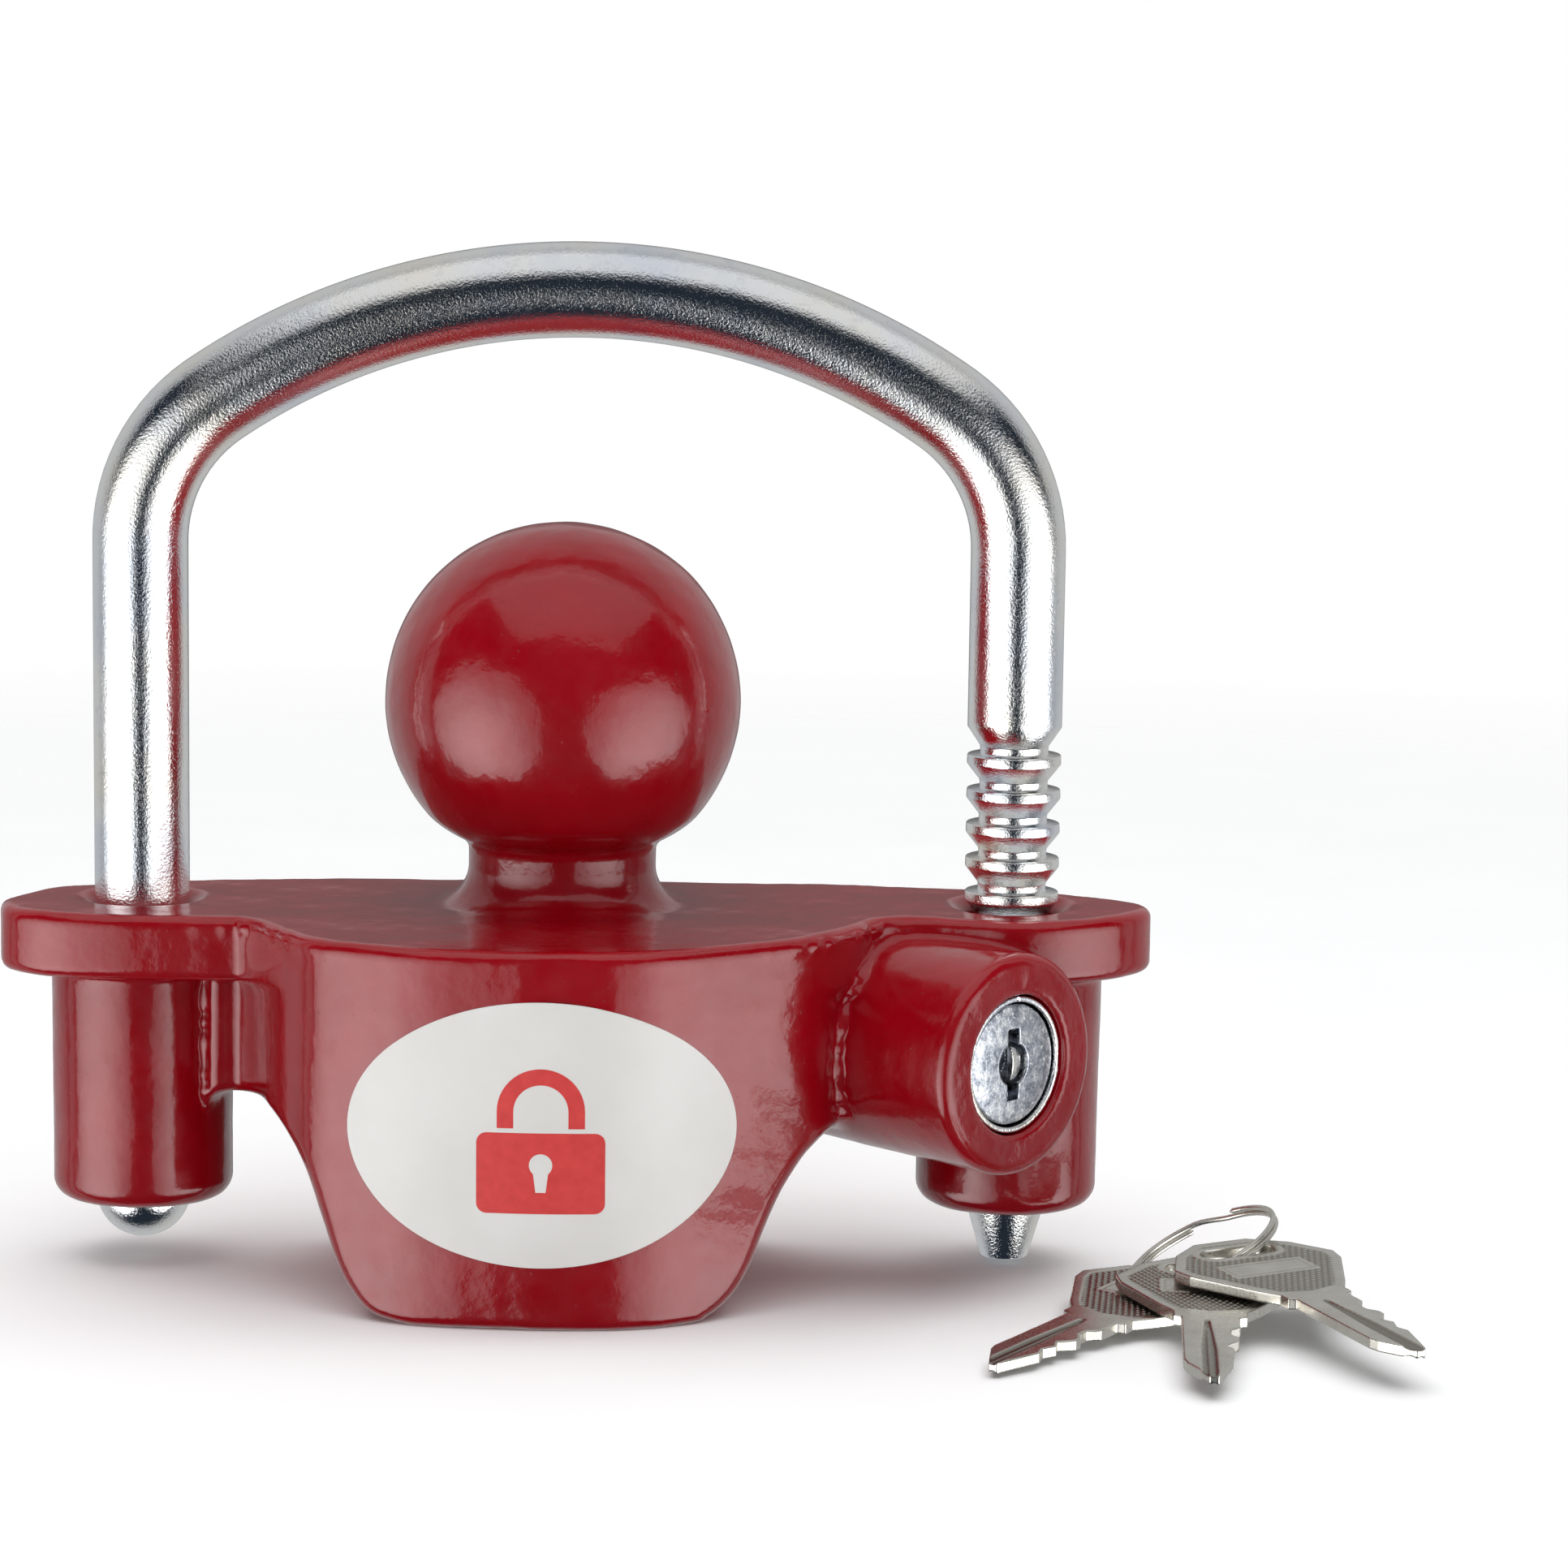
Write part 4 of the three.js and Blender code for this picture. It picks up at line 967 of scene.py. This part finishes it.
def key_depth(x, y):
    """How far a key's face lies below its highest places."""
    neck = KEY["top"] - KEY["bow_length"]
    field = np.minimum(-KEY_EDGE(x, y) - KNURL["border"], key_slot(x, y) - KNURL["slot_border"])
    field = np.minimum(field, y - neck - 0.2 - 0.25 * np.abs(x))
    tag = np.maximum(np.abs(x) - TAG["half_width"], np.abs(y - TAG["y"]) - TAG["half_height"])
    knurled = KNURL["depth"] * ease(field, 0, 0.35) * ease(tag, 0.15, 0.4)
    pitch = KNURL["pitch"]
    rows = y / (pitch * 0.866)  # the dots lie in even triangles
    row = np.round(rows)
    u = x / pitch + 0.5 * (row % 2)
    away = np.hypot((u - np.round(u)) * pitch, (rows - row) * pitch * 0.866)
    dots = 1 - ease(away, 0.18, 0.42)
    frame_line = np.exp(-((tag + 0.45) / 0.14) ** 2)
    along = neck - 3.2 - y
    half = 0.12 + 0.062 * np.clip(along, 0, 12)
    groove = ease(along, 0, 1.2) * (1 - ease(np.abs(x + 0.5), half * 0.6, half + 0.35))
    bead = ease(along, 2, 6) * np.exp(-((x + 0.5) / 0.22) ** 2)
    return knurled * (1 - 0.75 * dots) + 0.07 * frame_line + 0.30 * groove - 0.16 * bead * groove


def key_field(p):
    x, y, z = p.T
    flat = common(KEY_EDGE(x, y), -key_slot(x, y), 0.05)
    return common(flat, np.abs(z) - KEY["thick"] / 2 + key_depth(x, y), 0.16)


def make_keys(nickel):
    low = np.array([-KEY["bow_width"] / 2, KEY["top"] - KEY["length"], -KEY["thick"] / 2])
    high = np.array([KEY["bow_width"] / 2, KEY["top"], KEY["thick"] / 2])
    points, quads = surface(key_field, low, high, 0.17)
    points = np.clip(points, low, high)
    x, y, z = points.T
    # painted shade: the faces are coloured darker the deeper they lie below the key's highest places, but
    # not along its edges
    painted_recess_shade = np.clip(key_depth(x, y) / KNURL["depth"], 0, 1) * ease(np.abs(z), 0.2, 0.45)
    for i, (on_ring, way) in enumerate(KEYS_ON_RING):
        a = math.radians(on_ring)
        across, down = (RING_R - SLOT_INSET) * math.sin(a), (RING_R - SLOT_INSET) * math.cos(a)
        hung = Matrix.Translation((across * math.cos(RING_TILT), -down, across * math.sin(RING_TILT)))
        turn = np.array(KEY_SET @ hung @ Matrix.Rotation(math.radians(way), 4, "Z"))
        there = points @ turn[:3, :3].T + turn[:3, 3]
        name = f"key_{i + 1}"
        made = piece(f"{name}_cut", there, quads, nickel, name, sharp=60)
        shade_attribute = made.data.attributes.new("recess_shade", "FLOAT", "POINT")
        shade_attribute.data.foreach_set("value", painted_recess_shade)
        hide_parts(name)


def make_ring(nickel):
    """A split ring: two turns of wire side by side that cross over where the ends stop short."""
    wire, gap = 0.37, 0.40
    ends, cross = math.radians(16), math.radians(15)
    a = np.linspace(ends, 2 * math.tau - ends, 300)
    lift = gap * (2 * ease(a, math.tau - cross, math.tau + cross) - 1)
    place = np.array(KEY_SET @ Matrix.Rotation(-RING_TILT, 4, "Y"))
    start = math.radians(75)  # the ends lie near the top of the ring, clear of the keys
    outward = np.column_stack([np.cos(a + start), np.sin(a + start), np.zeros(len(a))])
    centres = outward * RING_R + np.outer(lift, (0, 0, 1))
    turn = place[:3, :3]
    centres = centres @ turn.T + place[:3, 3]
    outward = outward @ turn.T
    up = np.tile(turn @ (0, 0, 1), (len(a), 1))
    radii = wire * np.sqrt(np.clip(np.minimum(a - a[0], a[-1] - a) / 0.02, 0.15, 1))
    points, faces = tube(centres, outward, up, radii, 14)
    faces = [tuple(reversed(f)) for f in faces]
    made = piece("split_ring", points, faces, nickel, "key_set", sharp=60)
    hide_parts("key_ring")


# ------------ studio

def make_camera():
    """At arm's length in front, a little above and to the right, looking slightly down."""
    pitch, yaw, roll = math.radians(8.19), math.radians(-1.39), math.radians(0.80)
    data = bpy.data.cameras.new("camera")
    data.lens = 108.75
    data.sensor_width = 36
    data.clip_start = 0.01
    camera = add_object("camera", data)
    right = Vector((math.cos(yaw), math.sin(yaw), 0))
    down = Vector((math.sin(pitch) * math.sin(yaw), -math.sin(pitch) * math.cos(yaw), -math.cos(pitch)))
    ahead = right.cross(-down) * -1
    across = math.cos(roll) * right - math.sin(roll) * down
    below = math.sin(roll) * right + math.cos(roll) * down
    turn = Matrix((across, -below, -ahead)).transposed()
    place = (0.01448, -0.63124, 0.07969)
    camera.matrix_world = Matrix.Translation(place) @ turn.to_4x4()
    bpy.context.scene.camera = camera


def make_floor():
    """A pale round table top under the lock, which fades out into the white of the studio."""
    reach, z = 0.9, (SKIRT_BOTTOM - BALL_Z) * MM
    mesh = bpy.data.meshes.new("floor")
    corners = [(-reach, -reach, z), (reach, -reach, z), (reach, reach, z), (-reach, reach, z)]
    mesh.from_pydata(corners, [], [(0, 1, 2, 3)])
    look = Look("table_top", Roughness=0.8, Specular_IOR_Level=0.1)
    pale = look.tones((0.93, 0.93, 0.93), (0.95, 0.95, 0.95), 40, 2)
    look.tree.links.new(pale, look.shader.inputs["Base Color"])
    length = add_node(look.tree, "VectorMath")
    length.operation = "LENGTH"
    look.tree.links.new(look.place, length.inputs[0])
    whole, gone = 0.25, 0.7
    fade = look.spread(length.outputs["Value"], 1, 0, whole, gone)
    look.tree.links.new(fade, look.shader.inputs["Alpha"])
    mesh.materials.append(look.material)
    floor = add_object("floor", mesh)
    floor.visible_glossy = False  # gloss shows the dark room below the horizon instead


def dim_away_from(lamp, data):
    """A softbox's cloth is brightest in front of its lamp, and dims away from it."""
    data.use_nodes = True
    tree = data.node_tree
    away = add_node(tree, "VectorMath")
    away.operation = "DISTANCE"
    away.inputs[1].default_value = lamp
    tree.links.new(add_node(tree, "NewGeometry").outputs["Position"], away.inputs[0])
    dim = add_node(tree, "MapRange", Value=away.outputs["Value"], From_Min=0.0, From_Max=0.95,
                   To_Min=1.75, To_Max=0.38)
    dim.interpolation_type = "SMOOTHSTEP"
    tree.links.new(dim.outputs["Result"], tree.nodes["Emission"].inputs["Strength"])


def panel(name, place, size, brightness, target=(0, 0, 0), lamp=None):
    """A panel of light, as bright at any size; one with a lamp is a round softbox."""
    data = bpy.data.lights.new(name, "AREA")
    data.shape = "ELLIPSE" if lamp else "RECTANGLE"
    data.size, data.size_y = size
    area = size[0] * size[1] * (math.pi / 4 if lamp else 1)
    data.energy = brightness * math.pi * area
    if lamp:
        dim_away_from(lamp, data)
    light = add_object(name, data)
    way = Vector(target) - Vector(place)
    light.matrix_world = Matrix.Translation(place) @ way.to_track_quat("-Z", "Y").to_matrix().to_4x4()
    return light


def grey(value):
    """The room's slightly blue grey."""
    return value * 0.98, value * 0.99, value


def make_room():
    """White paper to the eye; to gloss and paint, a grey back wall, side panels and a dark front."""
    world = bpy.data.worlds.new("studio")
    bpy.context.scene.world = world
    world.use_nodes = True
    tree = world.node_tree
    way = add_node(tree, "SeparateXYZ", Vector=add_node(tree, "TexCoord").outputs["Generated"])
    depth = add_node(tree, "MapRange", Value=way.outputs["Y"], From_Min=-1)  # 0 in front, 1 behind
    dark, side = (0.017, 0.023, 0.033), grey(0.65)
    stops = ((0.0, dark), (0.54, dark), (0.56, side), (0.62, side), (0.63, dark), (0.645, dark),
             (0.66, grey(0.50)), (0.972, grey(0.52)), (0.985, grey(0.17)), (1.0, grey(0.15)))
    room = tree.nodes["Background"]
    tree.links.new(ramp(tree, depth.outputs["Result"], stops), room.inputs["Color"])
    paper = add_node(tree, "Background", Color=(1, 1, 1, 1))
    mix = add_node(tree, "MixShader", Fac=add_node(tree, "LightPath").outputs["Is Camera Ray"])
    tree.links.new(room.outputs["Background"], mix.inputs[1])
    tree.links.new(paper.outputs["Background"], mix.inputs[2])
    tree.links.new(mix.outputs["Shader"], tree.nodes["World Output"].inputs["Surface"])
    bpy.context.scene.view_settings.view_transform = "Standard"  # keeps the paper white and the red deep


def make_lights():
    """Two round softboxes low in front, a panel overhead, and two fills that gloss doesn't show."""
    panel("left_box", (-0.777, -0.629, -0.20), (1.60, 1.42), 2.3, lamp=(-0.84, -0.56, -0.42))
    panel("right_box", (0.79, -0.617, -0.24), (1.50, 1.22), 2.15, lamp=(0.88, -0.54, -0.46))
    panel("overhead", (0.12, -0.43, 0.92), (1.55, 1.07), 0.68, target=(0.12, -0.43, 0))
    for name, place, brightness in (("fill", (0, 0.1, 1.1), 1.5), ("front_fill", (0.1, -1.3, 0.35), 0.55)):
        fill = panel(name, place, (1.8, 1.8), brightness)
        fill.visible_glossy = False


# ------------ putting it together

make_camera()
paint, zinc, drawn_zinc = red_paint(), bright_zinc("bright_zinc"), bright_zinc("drawn_zinc", "grain")
steel, brass = plain_steel(), wafer_brass()
key_nickel, ring_nickel = warm_nickel("key_nickel", "recess_shade"), warm_nickel("ring_nickel")
make_casting(paint)
make_label(label_foil())
make_mark(label_ink())
make_shackle(drawn_zinc)
make_lock(zinc, cloudy_zinc())
make_spring(steel)
make_keys(key_nickel)
make_ring(ring_nickel)
for node, material in (("barrel_retaining_pin", steel), ("retaining_clip", steel), ("latch_bolt", steel),
                       ("rear_bush", brass), *((f"wafer_{i + 1}", brass) for i in range(WAFERS["count"]))):
    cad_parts[node].data.materials.clear()
    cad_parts[node].data.materials.append(material)
make_floor()
make_room()
make_lights()
